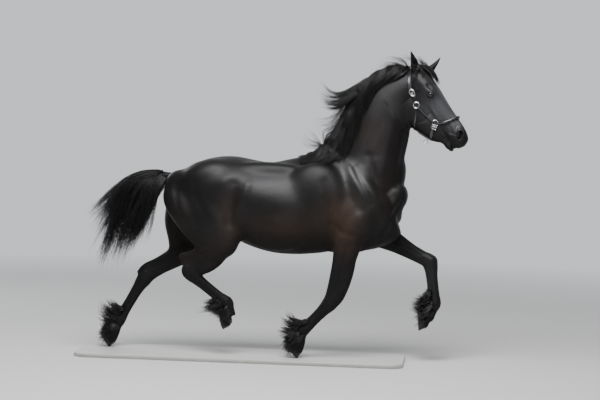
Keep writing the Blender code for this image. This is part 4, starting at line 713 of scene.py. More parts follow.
# Lines carved in both sides of the trunk and neck: (x, z) points, width, height (less than 0 is a groove)
TRUNK_LINES = [
    ([(0.760, 1.355), (0.790, 1.290), (0.840, 1.195), (0.885, 1.100), (0.905, 1.040)], 0.020, 0.0045),
    ([(0.800, 1.360), (0.835, 1.285), (0.885, 1.190), (0.925, 1.110)], 0.020, -0.0045),
    ([(0.700, 1.370), (0.735, 1.270), (0.790, 1.160), (0.840, 1.060)], 0.028, -0.0040),
    ([(0.895, 1.440), (0.925, 1.343), (0.968, 1.205), (1.013, 1.081)], 0.028, -0.0045),
    ([(0.940, 1.400), (0.975, 1.290), (1.015, 1.180)], 0.028, 0.0028),
    ([(1.120, 1.110), (1.090, 1.050), (1.057, 0.985), (1.004, 0.887)], 0.018, -0.0095),
    ([(1.085, 1.120), (1.055, 1.060), (1.020, 0.990), (0.975, 0.910)], 0.024, 0.0070),
    ([(0.060, 1.215), (0.035, 1.140), (0.000, 1.060), (-0.025, 0.950), (-0.020, 0.850)], 0.030, 0.0080),
    ([(-0.040, 1.220), (-0.050, 1.140), (-0.060, 1.052), (-0.060, 0.950)], 0.040, -0.0100),
    ([(0.600, 1.250), (0.635, 1.161), (0.653, 1.023), (0.690, 0.900)], 0.034, -0.0060),
    ([(0.650, 0.960), (0.720, 0.905), (0.800, 0.880)], 0.022, -0.0080),
    ([(-0.330, 1.220), (-0.300, 1.120), (-0.242, 0.997), (-0.180, 0.880)], 0.030, -0.0045),
    ([(-0.460, 1.200), (-0.459, 1.120), (-0.420, 0.992), (-0.345, 0.850)], 0.024, -0.0050),
    ([(-0.084, 1.255), (-0.110, 1.235)], 0.040, 0.0050),
    ([(0.150, 0.860), (0.300, 0.815), (0.480, 0.800), (0.600, 0.820)], 0.030, -0.0050),
    ([(1.160, 1.640), (1.140, 1.520), (1.120, 1.400), (1.095, 1.240)], 0.024, -0.0070),
    ([(1.070, 1.760), (1.040, 1.600), (1.010, 1.450), (0.990, 1.320)], 0.034, 0.0040),
    ([(1.000, 1.800), (0.950, 1.640), (0.890, 1.500), (0.850, 1.390)], 0.030, -0.0035),
]
# Ribs, and folds of skin at the throat: first and last line of a row, how many, width, height
TRUNK_ROWS = [
    ([(0.160, 1.180), (0.110, 1.020)], [(0.600, 1.180), (0.560, 0.960)], 9, 0.014, -0.0007),
    ([(1.180, 1.700), (1.130, 1.690)], [(1.165, 1.600), (1.100, 1.570)], 4, 0.012, -0.0012),
    ([(1.100, 1.020), (1.085, 0.930)], [(1.160, 1.080), (1.150, 1.000)], 3, 0.012, -0.0040),
]
# Lines along a bone of a leg, both sides: (bone, first place, last place, fore, width, height)
LEG_LINES = {
    "fore": [
        (1, 0.10, 0.80, 0.012, 0.010, -0.0050),
        (1, 0.25, 0.90, -0.026, 0.008, -0.0040),
        (2, 0.12, 0.90, -0.016, 0.006, -0.0050),
        (2, 0.10, 0.90, 0.006, 0.010, 0.0020),
    ],
    "hind": [
        (1, 0.20, 0.85, 0.010, 0.010, -0.0050),
        (1, 0.40, 0.92, -0.034, 0.009, -0.0090),
        (2, 0.12, 0.90, -0.018, 0.006, -0.0050),
        (2, 0.05, 0.40, 0.014, 0.010, 0.0030),
    ],
}
# Lines of the head, both sides: (s, t) points in its own frame, width, height
HEAD_LINES = [
    ([(0.300, -0.052), (0.340, -0.058), (0.380, -0.064), (0.410, -0.068)], 0.0120, 0.0032),
    ([(0.310, -0.080), (0.350, -0.088), (0.400, -0.088)], 0.0140, -0.0016),
    ([(0.340, -0.090), (0.356, -0.130), (0.350, -0.180), (0.325, -0.225)], 0.0090, -0.0040),
    ([(0.350, -0.235), (0.368, -0.175), (0.390, -0.120), (0.402, -0.080), (0.420, -0.045)], 0.0028, 0.0022),
    ([(0.402, -0.080), (0.360, -0.030), (0.300, -0.012), (0.262, 0.006)], 0.0026, 0.0018),
    ([(0.402, -0.085), (0.450, -0.040), (0.500, -0.012)], 0.0026, 0.0016),
    ([(0.190, 0.022), (0.178, 0.018)], 0.0160, -0.0100),
    ([(0.206, 0.034), (0.232, 0.036), (0.262, 0.026)], 0.0120, 0.0010),
    ([(0.208, -0.022), (0.235, -0.034), (0.268, -0.030)], 0.0045, -0.0022),
    ([(0.204, -0.030), (0.232, -0.044), (0.272, -0.040)], 0.0050, 0.0016),
    ([(0.205, 0.022), (0.232, 0.026), (0.260, 0.016)], 0.0035, -0.0024),
    ([(0.300, 0.022), (0.380, 0.020), (0.460, 0.022), (0.520, 0.030)], 0.0140, -0.0025),
    ([(0.470, -0.020), (0.510, -0.028), (0.545, -0.040)], 0.0120, -0.0040),
    ([(0.520, 0.016), (0.550, 0.000), (0.566, -0.018)], 0.0080, -0.0030),
    ([(0.490, -0.075), (0.530, -0.062), (0.560, -0.040)], 0.0080, 0.0030),
    ([(0.535, -0.112), (0.560, -0.100), (0.600, -0.104)], 0.0070, -0.0030),
    ([(0.175, -0.075), (0.168, -0.130), (0.180, -0.190)], 0.0120, -0.0035),
    ([(0.085, -0.030), (0.110, -0.060), (0.150, -0.075)], 0.0120, 0.0030),
]
# The nostril: the comma in (s, t) that its opening follows, half the opening's width, how sharp its edge is
# and how deep it goes; then how far out the raised rim round it lies, half the rim's width and its height
NOSTRIL = [(0.574, 0.018), (0.588, 0.015), (0.600, 0.004), (0.606, -0.010)]
NOSTRIL_HALF, NOSTRIL_EDGE, NOSTRIL_DEPTH = 0.0085, 0.0011, 0.026
RIM_OUT, RIM_HALF, RIM_HEIGHT = 0.0135, 0.0035, 0.0030
MOUTH = [(0.553, -0.076), (0.575, -0.084), (0.600, -0.091), (0.625, -0.096), (0.650, -0.097), (0.675, -0.094)]


# Ears: root, tip, the way the opening faces
EARS = {
    -1: ((1.198, -0.087, 2.062), (1.168, -0.105, 2.177), (0.35, -0.90, 0.10)),
    1: ((1.279, 0.027, 2.048), (1.372, 0.045, 2.146), (0.70, 0.45, -0.55)),
}
# An ear's sections from its root to its tip: (place, half width, half depth), then of its hollow: how far out
# it lies and its depth, in shares of the half depth, and its width, in shares of the half width
EAR_SECTIONS = [
    (-0.20, 0.0270, 0.0250, -0.60, 0.30, 0.10),
    (0.00, 0.0300, 0.0270, -0.55, 0.35, 0.10),
    (0.14, 0.0305, 0.0265, -0.10, 0.60, 0.28),
    (0.30, 0.0280, 0.0230, 0.42, 0.90, 0.62),
    (0.46, 0.0235, 0.0190, 0.62, 0.98, 0.84),
    (0.62, 0.0178, 0.0145, 0.66, 1.00, 0.84),
    (0.76, 0.0132, 0.0105, 0.68, 1.00, 0.82),
    (0.87, 0.0092, 0.0072, 0.70, 1.00, 0.78),
    (0.95, 0.0056, 0.0042, 0.72, 1.00, 0.70),
    (1.00, 0.0014, 0.0014, 0.75, 1.00, 0.60),
]


def head_point(s, y, t, sign=1):
    """One point of the head's frame placed on the horse, on its other side where sign is -1."""
    return at_head([[s, sign * y, t]])[0]


def eye_centre(sign):
    """The middle of an eyeball on the horse."""
    return head_point(*EYE, sign)


def swollen(points, centre, gain, reach):
    """Points moved straight out from a centre by gain * tanh(distance / reach)."""
    ray = points - centre
    far = np.linalg.norm(ray, axis=1, keepdims=True)
    return centre + ray * (1 + gain * np.tanh(far / reach) / np.maximum(far, 1e-9))


def unswollen(points, centre, gain, reach):
    """The way back from swollen, read off a table of distances."""
    ray = points - centre
    far = np.linalg.norm(ray, axis=1, keepdims=True)
    table = np.linspace(0, 6, 6001)
    near = np.interp(far, table + gain * np.tanh(table / reach), table)
    return centre + ray * near / np.maximum(far, 1e-9)


def line_distance(points, line):
    """How far each point is from a line through the given points."""
    line = np.asarray(line, float)
    best = np.full(len(points), np.inf)
    for a, b in zip(line[:-1], line[1:]):
        span = b - a
        t = clipped((points - a) @ span / (span @ span))
        best = np.minimum(best, np.linalg.norm(points - a - t[:, None] * span, axis=1))
    return best


def carved(flat, line, width, height):
    """A ridge or groove along a line: height * exp(-(distance / width) squared)."""
    line = np.asarray(line, float)
    low, high = line.min(0) - 3 * width, line.max(0) + 3 * width
    near = ((flat > low) & (flat < high)).all(1)
    rise = np.zeros(len(flat))
    rise[near] = height * np.exp(-((line_distance(flat[near], smooth_rows(line, 4)) / width) ** 2))
    return rise


def trunk_rise(points, normals):
    """How far the trunk's and neck's lines push each point out."""
    x, y, z = points.T
    s, _, t = in_head(points).T
    body = (z > LEG_TOP) & ((s < 0.02) | (t < -0.29) | (x < 1.0))
    facing = clipped(np.abs(normals[:, 1]) * 2.5 - 0.3) * clipped(np.abs(y) / 0.04) * body
    rise = np.zeros(len(points))
    flat = points[:, [0, 2]]
    for line, width, height in TRUNK_LINES:
        rise += carved(flat, line, width, height)
    for first, last, count, width, height in TRUNK_ROWS:
        for share in np.linspace(0, 1, count):
            line = np.array(first) * (1 - share) + np.array(last) * share
            rise += carved(flat, line, width, height)
    return rise * facing


def leg_rise(points, normals):
    """How far the tendons' lines push each point of the legs out."""
    rise = np.zeros(len(points))
    facing = clipped(np.abs(normals[:, 1]) * 2 - 0.2)
    for name, joints in JOINTS.items():
        joints = np.array(joints)
        mine = (np.sign(points[:, 1]) == np.sign(joints[1, 1])) & (points[:, 2] < 0.95)
        if "fore" in name:
            mine &= points[:, 0] > 0.2
        for bone, first, last, fore, width, height in LEG_LINES[name[:4]]:
            start, end = joints[bone], joints[bone + 1]
            along = unit(end - start)
            front = np.array([-along[2], 0, along[0]])
            line = [(start + (end - start) * t + front * fore)[[0, 2]] for t in (first, last)]
            rise += carved(points[:, [0, 2]], line, width, height) * facing * mine
    return rise


def head_push(points, normals):
    """The head's folds, veins, nostrils and mouth, as moves of every point."""
    local = in_head(points)
    s, y, t = local.T
    flat = local[:, [0, 2]]
    side = clipped(np.abs(y) / 0.02 - 0.3) * (s > -0.02) * (t > -0.30)
    rise = np.zeros(len(points))
    for line, width, height in HEAD_LINES:
        rise += carved(flat, line, width, height)
    rise *= side
    groove = carved(flat, MOUTH, 0.0042, -0.0075) + carved(flat, np.array(MOUTH) + (0, 0.012), 0.006, 0.0020)
    rise += groove * (s > 0.53)
    push = normals * rise[:, None]
    inward = -np.sign(y)[:, None] * HEAD_AXES[:, 1] * 0.8 - HEAD_AXES[:, 0] * 0.6
    gap = line_distance(flat, smooth_rows(NOSTRIL, 5))
    inside = 1 / (1 + np.exp(np.clip((gap - NOSTRIL_HALF) / NOSTRIL_EDGE, -30, 30)))
    hole = inside * (np.abs(y) > 0.022) * (s > 0.5)
    rim = np.exp(-(((gap - RIM_OUT) / RIM_HALF) ** 2)) * (np.abs(y) > 0.02) * (s > 0.5)
    return push + inward * (hole * NOSTRIL_DEPTH)[:, None] + normals * (rim * RIM_HEIGHT)[:, None]


def softness(points):
    """How far each point may be smoothed: most on the trunk, least on the legs and the dock."""
    x, _, z = points.T
    low = np.clip((z - 0.60) / 0.25, 0.20, 1)
    reach = clipped((x - 1.02) / 0.12) * clipped((1.02 - z) / 0.10)
    dock = clipped((-0.50 - x) / 0.06) * clipped((z - 1.17) / 0.04)
    return low * (1 - 0.55 * reach) * (1 - 0.85 * dock)


def orbits(points):
    """Raises the skin round each eye, 0.006 at the most, then domes it over the eyeball."""
    s, y, t = in_head(points).T
    for sign in SIDES:
        rise = 0.006 * np.exp(-(((s - EYE[0] + 0.004) / 0.048) ** 2) - ((t - EYE[2] - 0.004) / 0.036) ** 2)
        points = points + (sign * rise * (sign * y > 0.03))[:, None] * HEAD_AXES[:, 1]
    return domed(points)


def domed(points):
    """Keeps the skin off each eyeball, in a dome that the lids are cut from.

    Its distance from the eyeball's middle is LID + w * ln(1 + exp((distance - LID) / w)), w being LID_BLEND.
    """
    points = points.copy()
    for sign in SIDES:
        ray = points - eye_centre(sign)
        far = np.linalg.norm(ray, axis=1)
        near = far < LID_REACH
        over = np.clip((far[near] - LID) / LID_BLEND, -30, 30)
        held = LID + LID_BLEND * np.log1p(np.exp(over))
        points[near] = eye_centre(sign) + ray[near] * (held / far[near])[:, None]
    return points


def soft_forms():
    """Forms that only the skin has: the roots of the ears, and the lower lip and chin."""
    forms = []
    for base, tip, _ in EARS.values():
        forms.append(ball(base - unit(np.array(tip) - base) * 0.006, (0.033, 0.031, 0.031), sides=20))
    for s, width, t, height in ((0.600, 0.037, -0.098, 0.022), (0.592, 0.031, -0.122, 0.020)):
        points, faces = ball((s, 0, t), (0.040, width, height), -8, 0, 20)
        forms.append((at_head(points), faces))
    return forms


def skin_piece():
    """The whole skin but the ears and lids: fused, smoothed, carved and set in by the depth of the coat."""
    points, faces = joined(body_forms() + head_forms() + soft_forms())
    for lens in MESH_LENSES:
        points = swollen(points, *lens)
    skin = meshed("skin", points - (0, 0, GROUND), faces)
    modified(skin, "REMESH", mode="VOXEL", voxel_size=SKIN_VOXEL)
    points = coordinates(skin)
    for lens in MESH_LENSES[::-1]:
        points = unswollen(points, *lens)
    edges = edge_pairs(skin)
    points = orbits(relaxed(points, edges, softness(points), SKIN_ROUNDS))
    moved(skin, points)
    normals = point_normals(skin)
    rise = trunk_rise(points, normals) + leg_rise(points, normals) - SKIN_DEPTH
    points = points + normals * rise[:, None] + head_push(points, normals)
    points = domed(relaxed(points, edges, np.full(len(points), 0.5), 2))
    return moved(skin, points + (0, 0, GROUND))


# Ears, lids and eyes


def ear_form(sign, inner=False, sides=48):
    """An ear: a leaf rolled into a cup and bent to its tip; its inside is a thinner leaf by the opening."""
    base, tip, facing = (np.array(p) for p in EARS[sign])
    axis = unit(tip - base)
    front = unit(facing - axis * (facing @ axis))
    side = np.cross(axis, front)
    length = np.linalg.norm(tip - base)
    place, wide, deep, out, hollow, share = (column[:, None] for column in smooth_rows(EAR_SECTIONS, 6).T)
    turn, c, s = circle(sides)
    bend = 0.008 * np.sin(math.pi * clipped(place)) - 0.004 * clipped(place) ** 2
    centre = base + axis * length * place + front * bend
    if inner:
        centre = centre + front * deep * out
        wide, deep = np.maximum(wide * share, 0.0006), deep * hollow
        used = (place[:, 0] > 0.06) & (place[:, 0] < 0.985)
    else:
        fold = 1 + 0.05 * np.cos(3 * turn) * (place < 0.5)
        wide, deep = wide * fold, deep * fold
        used = place[:, 0] > -1
    ring = centre[:, None] + (c * wide)[..., None] * side + (s * deep)[..., None] * front
    return outward(capped(ring[used]))


def almond(turn):
    """The eye's opening, (ds, dt) from its middle: a tilted lens whose front corner is drawn out."""
    c, s = np.cos(turn), np.sin(turn)
    ds = 0.0185 * c + 0.0035 * clipped(c) ** 4
    dt = np.where(s > 0, 0.0125, 0.0100) * signed_power(s, 1.15)
    return ds - 0.16 * dt, dt + 0.20 * ds - 0.001


def eye_opening(sign):
    """The space before the eyeball between the lids: the almond drawn straight out along the head's width."""
    ds, dt = almond(circle(64)[0])
    rings = [
        at_head(np.stack([EYE[0] + ds, sign * (EYE[1] + out) + 0 * ds, EYE[2] + dt], -1))
        for out in np.linspace(0.002, 0.050, 5)
    ]
    return outward(capped(np.array(rings)))


def lid_ring(sign, spread=1.02, rise=0.0016, thick=0.0015):
    """A roll of skin round the eye's opening, spread times as wide, risen off the eyeball and thick.

    Its thickness follows 0.7 + 0.3 * |sin| round the eye, so it is thinnest at the corners.
    """
    turn = np.linspace(0, 2 * math.pi, 72, endpoint=False)
    ds, dt = almond(turn)
    ds, dt = ds * spread, dt * spread
    out = np.sqrt(np.maximum(EYE_RADIUS**2 - ds**2 - dt**2, 0.00002)) * 0.97 + rise
    line = at_head(np.stack([EYE[0] + ds, sign * (EYE[1] + out), EYE[2] + dt], -1))
    up = unit(line - eye_centre(sign))
    side = unit(np.cross(unit(np.roll(line, -1, 0) - np.roll(line, 1, 0)), up))
    radius = thick * (0.7 + 0.3 * np.abs(np.sin(turn)))
    _, c, s = circle(10)
    rings = line[:, None] + radius[:, None, None] * (
        c[None, :, None] * side[:, None] + s[None, :, None] * up[:, None] * 0.85
    )
    return outward(looped(rings))


def looped(rings):
    """Vertices and faces of a stack of rings that closes on itself."""
    count, sides = rings.shape[:2]
    i, j = np.meshgrid(np.arange(count), np.arange(sides), indexing="ij")
    k, n = (j + 1) % sides, (i + 1) % count
    walls = np.stack([i * sides + j, i * sides + k, n * sides + k, n * sides + j], -1)
    return rings.reshape(-1, 3), walls.reshape(-1, 4).tolist()


def dressed(skin):
    """Adds the ears and lids to the skin and opens the eye sockets, then smooths where the ears meet it."""
    ears = []
    for sign in SIDES:
        hollow = meshed("hollow", *ear_form(sign, True))
        ears.append(combined(meshed("ear", *ear_form(sign)), [hollow], "DIFFERENCE"))
    combined(skin, ears, "UNION")
    cuts = []
    for sign in SIDES:
        cuts.append(meshed("ball", *ball(eye_centre(sign), [EYE_RADIUS + 0.0004] * 3, 0, 0, 32)))
        cuts.append(meshed("opening", *eye_opening(sign)))
    combined(skin, cuts, "DIFFERENCE")
    combined(skin, [meshed("rim", *lid_ring(sign)) for sign in SIDES], "UNION")
    points = coordinates(skin) - (0, 0, GROUND)
    near = np.zeros(len(points))
    for sign in SIDES:
        ear = np.linalg.norm(points - EARS[sign][0], axis=1)
        near = np.maximum(near, clipped(1.4 - ear / 0.034))
    points = relaxed(points, edge_pairs(skin), near, 14)
    moved(skin, points + (0, 0, GROUND))
    skin.data.calc_loop_triangles()
    modified(skin, "DECIMATE", ratio=SKIN_TRIANGLES / len(skin.data.loop_triangles))
    skin.data.shade_smooth()
    return skin


def eye_piece(sign, side):
    """An eyeball whose clear front bulges, by the angle from where it looks.

    Its radius is EYE_RADIUS * (0.985 + 0.06 * exp(-(angle / 0.62)^4)).
    Its UV map Gaze holds millimetres along and across the slit of the pupil.
    """
    sight = unit(HEAD_AXES @ np.array([0.16, sign * 0.95, 0.10]))
    slit = unit(HEAD_AXES[:, 0] - sight * (HEAD_AXES[:, 0] @ sight) + 0.10 * HEAD_AXES[:, 2])
    slit = unit(slit - sight * (slit @ sight))
    rise = np.cross(sight, slit)
    angle = np.linspace(0, math.pi, 49)[1:-1][::-1]
    _, c, s = circle(64)
    radius = EYE_RADIUS * (0.985 + 0.060 * np.exp(-((angle / 0.62) ** 4)))
    rings = radius[:, None, None] * (
        np.cos(angle)[:, None, None] * sight
        + np.sin(angle)[:, None, None] * (c[:, None] * slit + s[:, None] * rise)
    )
    points, faces = outward(capped(rings))
    piece = meshed("eyeball_" + side, points + eye_centre(sign), faces)
    mapped(piece, "Gaze", np.stack([points @ slit, points @ rise], -1) * 1000)
    return piece


# Hair. A guide is a curve with the skin's direction at each of its points; strands grow round it and taper


def resampled(rows, t):
    """What each of N paths has at places t, N rows of them from 0 to 1, read between its points."""
    step = clipped(t) * (rows.shape[1] - 1)
    low = np.minimum(step.astype(int), rows.shape[1] - 2)
    share = (step - low)[..., None]
    pick = np.arange(len(rows))[:, None]
    return rows[pick, low] * (1 - share) + rows[pick, low + 1] * share


def strands(guides, normals, roots, rng, count, spread, depth, sections, draw=0.7, wave=0.004, short=0.70):
    """count strands round every guide, as paths, the way each faces and its place on the unwrap.

    A strand keeps to one side of its guide: a * spread across and b * depth off the skin, both times
    1 - draw * t, so that a lock draws together to its tip. A slow sine sways it more the further it is out.
    """
    total = len(guides) * count
    guides, normals = np.repeat(guides, count, 0), np.repeat(normals, count, 0)
    length = rng.uniform(short, 1.0, total)
    t = np.linspace(0, 1, sections)[None] * length[:, None]
    line, up = resampled(guides, t), unit(resampled(normals, t))
    side = unit(np.cross(unit(np.gradient(line, axis=1)), up))
    a, b = rng.uniform(-1, 1, (2, total, 1))
    close = 1 - draw * t**1.2
    phase, pace = rng.uniform(0, 6.28, (total, 1)), rng.uniform(4, 9, (total, 1))
    sway = wave * np.sin(phase + pace * t) * t
    across = a * spread * close + sway
    off = (0.5 + 0.5 * b) * depth * close * np.minimum(t * 5, 1)
    off = off + 0.5 * wave * np.sin(phase * 2 + pace * t) * t
    place = np.repeat(roots, count, 0) + np.concatenate([a * 0.010, b * 0.010], 1)
    return line + across[..., None] * side + off[..., None] * up, up, place


def hair_piece(name, paths, up, place, width, thick, rng):
    """Closed tapered strands of three sides as one mesh, each with a tone and an OFBake patch of its own.

    At t it is (0.6 + 0.4 sin(pi min(1.5 t, 1))) * sqrt(1 - t^3) of its width, and a point closes its tip.
    """
    total, sections, _ = paths.shape
    t = np.linspace(0, 1, sections)
    swell = (0.6 + 0.4 * np.sin(math.pi * np.minimum(1.5 * t, 1))) * np.sqrt(clipped(1 - t**3))
    along = unit(np.gradient(paths, axis=1))
    side = unit(np.cross(along, up))
    up = np.cross(side, along)
    around = np.array([0.5, 7 / 6, 11 / 6]) * math.pi
    own = rng.uniform(0.7, 1.25, (total, 1, 1, 1))
    rings = paths[:, :-1, None] + own * swell[:-1, None, None] * (
        np.cos(around)[:, None] * side[:, :-1, None] * width / 2
        + np.sin(around)[:, None] * up[:, :-1, None] * thick / 2
    )
    each = 3 * (sections - 1) + 1
    points = np.concatenate([rings.reshape(total, -1, 3), paths[:, -1:]], 1)
    i, j = np.meshgrid(np.arange(sections - 2), np.arange(3), indexing="ij")
    k = (j + 1) % 3
    walls = np.stack([3 * i + j, 3 * i + 3 + j, 3 * i + 3 + k, 3 * i + k], -1).reshape(-1, 4)
    last = 3 * (sections - 2)
    ends = np.array([[0, 1, 2]] + [[last + j, each - 1, last + (j + 1) % 3] for j in range(3)])
    start = np.arange(total)[:, None, None] * each
    faces = ((walls + start).reshape(-1, 4), (ends + start).reshape(-1, 3))
    piece = meshed(name, points.reshape(-1, 3), faces)
    if len(piece.data.vertices) != total * each:
        raise ValueError(name + " lost points")
    within = np.arange(each)
    patch = np.stack([np.where(within == each - 1, 1, within % 3) / 2, within // 3 / (sections - 1)], -1)
    uv = np.clip(place, 0.01, 0.98)[:, None] + patch[None] * STRAND_PATCH
    mapped(piece, "OFBake", uv.reshape(-1, 2))
    marked(piece, tone=np.repeat(rng.uniform(0, 1, total), each))
    return piece


def in_pieces(name, parts, width, thick, rng, most=190000):
    """Hair pieces of strands alike in sections, shared out so that none has too many triangles."""
    paths, up, place = (np.concatenate(part) for part in zip(*parts))
    each = 6 * (paths.shape[1] - 2) + 4
    count = math.ceil(len(paths) * each / most)
    order = rng.permutation(len(paths))
    pieces = []
    for k, pick in enumerate(np.array_split(order, count)):
        label = name if count == 1 else "%s_%d" % (name, k + 1)
        pieces.append(hair_piece(label, paths[pick], up[pick], place[pick], width, thick, rng))
    return pieces


# Mane: (place along the neck, how far back it sweeps, how far down it falls), poll to withers
MANE_FALL = [
    (0.99, 0.30, 0.075),
    (0.90, 0.34, 0.110),
    (0.80, 0.36, 0.130),
    (0.70, 0.37, 0.150),
    (0.60, 0.37, 0.165),
    (0.50, 0.35, 0.180),
    (0.40, 0.32, 0.190),
    (0.30, 0.29, 0.185),
    (0.20, 0.24, 0.195),
    (0.10, 0.16, 0.160),
    (0.00, 0.08, 0.110),
]
# The stream of hair blown back off the crest, and the thin ends below it: four control points each
MANE_STREAM = [
    [(0.900, -0.03, 2.000), (0.740, -0.05, 1.890), (0.640, -0.06, 1.790), (0.529, -0.07, 1.968)],
    [(0.870, -0.04, 1.975), (0.730, -0.06, 1.860), (0.620, -0.07, 1.780), (0.535, -0.08, 1.905)],
    [(0.850, -0.05, 1.955), (0.700, -0.07, 1.835), (0.610, -0.09, 1.765), (0.531, -0.09, 1.870)],
    [(0.830, -0.07, 1.920), (0.700, -0.09, 1.800), (0.620, -0.10, 1.750), (0.533, -0.11, 1.822)],
    [(0.800, -0.06, 1.900), (0.700, -0.08, 1.780), (0.630, -0.09, 1.730), (0.560, -0.10, 1.790)],
]
MANE_WISPS = [
    [(0.745, -0.03, 1.860), (0.670, -0.04, 1.730), (0.600, -0.05, 1.640), (0.493, -0.06, 1.709)],
    [(0.715, -0.05, 1.780), (0.650, -0.06, 1.670), (0.590, -0.07, 1.620), (0.500, -0.08, 1.672)],
    [(0.690, -0.03, 1.720), (0.620, -0.04, 1.620), (0.560, -0.05, 1.570), (0.480, -0.06, 1.640)],
    [(0.660, -0.02, 1.660), (0.590, -0.03, 1.550), (0.520, -0.04, 1.510), (0.440, -0.05, 1.612)],
    [(0.640, -0.04, 1.590), (0.560, -0.05, 1.510), (0.480, -0.05, 1.490), (0.373, -0.05, 1.613)],
    [(0.620, -0.03, 1.550), (0.540, -0.04, 1.480), (0.460, -0.05, 1.460), (0.380, -0.05, 1.545)],
]
POLL_WISPS = [
    [(1.140, -0.03, 2.070), (1.110, -0.04, 2.120), (1.060, -0.05, 2.145), (0.985, -0.06, 2.130)],
    [(1.130, -0.02, 2.065), (1.080, -0.03, 2.100), (1.020, -0.04, 2.115), (0.930, -0.05, 2.080)],
    [(1.120, -0.04, 2.060), (1.060, -0.05, 2.085), (0.990, -0.06, 2.090), (0.905, -0.07, 2.050)],
    [(1.225, -0.040, 2.080), (1.205, -0.042, 2.120), (1.140, -0.048, 2.155), (1.030, -0.050, 2.145)],
    [(1.250, -0.010, 2.080), (1.245, -0.010, 2.115), (1.215, -0.012, 2.140), (1.165, -0.020, 2.145)],
    [(1.280, 0.000, 2.070), (1.275, 0.000, 2.100), (1.250, -0.005, 2.120), (1.200, -0.010, 2.125)],
]
# The forelock, in the head's frame (s, y, t): from the poll down both sides of the forehead
FORELOCK = [
    [(0.000, -0.040, 0.012), (0.030, -0.072, 0.016), (0.062, -0.092, -0.010), (0.100, -0.098, -0.040)],
    [(-0.005, -0.030, 0.015), (0.035, -0.058, 0.036), (0.075, -0.072, 0.030), (0.125, -0.078, 0.012)],
    [(-0.005, -0.015, 0.015), (0.040, -0.030, 0.052), (0.090, -0.036, 0.066), (0.155, -0.034, 0.058)],
    [(0.000, 0.000, 0.015), (0.045, 0.010, 0.062), (0.105, 0.018, 0.074), (0.185, 0.015, 0.060)],
    [(0.000, 0.020, 0.012), (0.040, 0.050, 0.058), (0.105, 0.055, 0.066), (0.205, 0.040, 0.054)],
    [(0.000, 0.010, 0.015), (0.035, 0.030, 0.080), (0.110, 0.030, 0.090), (0.190, 0.020, 0.060)],
    [(0.000, 0.000, 0.015), (0.040, 0.020, 0.075), (0.115, 0.022, 0.084), (0.190, 0.015, 0.060)],
    [(0.000, 0.000, 0.015), (0.045, 0.025, 0.066), (0.125, 0.026, 0.074), (0.205, 0.020, 0.056)],
    [(0.000, 0.020, 0.012), (0.040, 0.040, 0.070), (0.120, 0.042, 0.082), (0.205, 0.035, 0.056)],
    [(0.005, 0.035, 0.012), (0.035, 0.070, 0.046), (0.105, 0.075, 0.052), (0.200, 0.060, 0.042)],
    [(0.010, 0.045, 0.008), (0.040, 0.088, 0.030), (0.105, 0.090, 0.036), (0.190, 0.080, 0.022)],
]
DOCK = [(-0.545, 0, 1.262), (-0.620, 0, 1.268), (-0.690, 0, 1.268), (-0.755, 0, 1.245), (-0.800, 0, 1.200)]
# The tail: the place of the root along the dock, and then its bend, the point before its tip, and its tip
TAIL = [
    (0.02, (-0.640, 0.035, 1.180), (-0.680, 0.050, 1.060), (-0.750, 0.035, 0.890)),
    (0.12, (-0.670, -0.040, 1.190), (-0.710, -0.060, 1.040), (-0.810, -0.040, 0.740)),
    (0.25, (-0.710, 0.045, 1.200), (-0.750, 0.060, 0.980), (-0.860, 0.030, 0.730)),
    (0.40, (-0.760, -0.045, 1.205), (-0.780, -0.050, 0.950), (-0.900, -0.030, 0.585)),
    (0.60, (-0.830, 0.030, 1.230), (-0.850, 0.060, 0.970), (-0.985, 0.030, 0.630)),
    (0.55, (-0.855, -0.020, 1.260), (-0.900, -0.055, 1.010), (-1.070, -0.020, 0.590)),
    (0.45, (-0.850, 0.020, 1.262), (-0.910, 0.045, 1.080), (-1.060, 0.030, 0.790)),
    (0.30, (-0.850, -0.010, 1.285), (-0.920, -0.030, 1.120), (-1.105, -0.030, 0.895)),
    (0.15, (-0.840, 0.000, 1.305), (-0.900, 0.010, 1.130), (-1.140, 0.000, 0.985)),
]
# Feathers of each leg: root x, z and tip x, z, down the back of the leg from the cannon to the hoof
FEATHERS = {
    "fore_right": [
        (0.505, 0.275, 0.425, 0.268), (0.485, 0.260, 0.365, 0.290), (0.465, 0.245, 0.297, 0.318),
        (0.445, 0.228, 0.284, 0.263), (0.430, 0.205, 0.278, 0.191), (0.418, 0.178, 0.301, 0.164),
        (0.405, 0.160, 0.323, 0.122), (0.400, 0.140, 0.310, 0.072), (0.398, 0.120, 0.345, 0.030),
        (0.398, 0.110, 0.372, 0.006),
    ],
    "fore_left": [
        (1.335, 0.500, 1.270, 0.440), (1.340, 0.470, 1.240, 0.425), (1.345, 0.440, 1.196, 0.409),
        (1.340, 0.410, 1.186, 0.369), (1.330, 0.380, 1.206, 0.350), (1.320, 0.360, 1.240, 0.330),
        (1.315, 0.340, 1.250, 0.290), (1.310, 0.320, 1.248, 0.240),
    ],
    "hind_right": [
        (-0.190, 0.420, -0.235, 0.380), (-0.165, 0.405, -0.254, 0.367), (-0.140, 0.385, -0.282, 0.344),
        (-0.125, 0.365, -0.288, 0.308), (-0.115, 0.345, -0.240, 0.300), (-0.105, 0.325, -0.200, 0.285),
        (-0.100, 0.305, -0.160, 0.255), (-0.095, 0.290, -0.140, 0.225),
    ],
    "hind_left": [
        (-0.872, 0.300, -0.970, 0.335), (-0.893, 0.270, -1.000, 0.350), (-0.912, 0.240, -1.040, 0.345),
        (-0.928, 0.215, -1.079, 0.328), (-0.942, 0.195, -1.085, 0.262), (-0.955, 0.175, -1.070, 0.190),
        (-0.988, 0.155, -1.067, 0.125), (-0.990, 0.135, -1.088, 0.063), (-0.992, 0.120, -1.060, 0.030),
        (-0.990, 0.110, -1.030, 0.006),
    ],
}


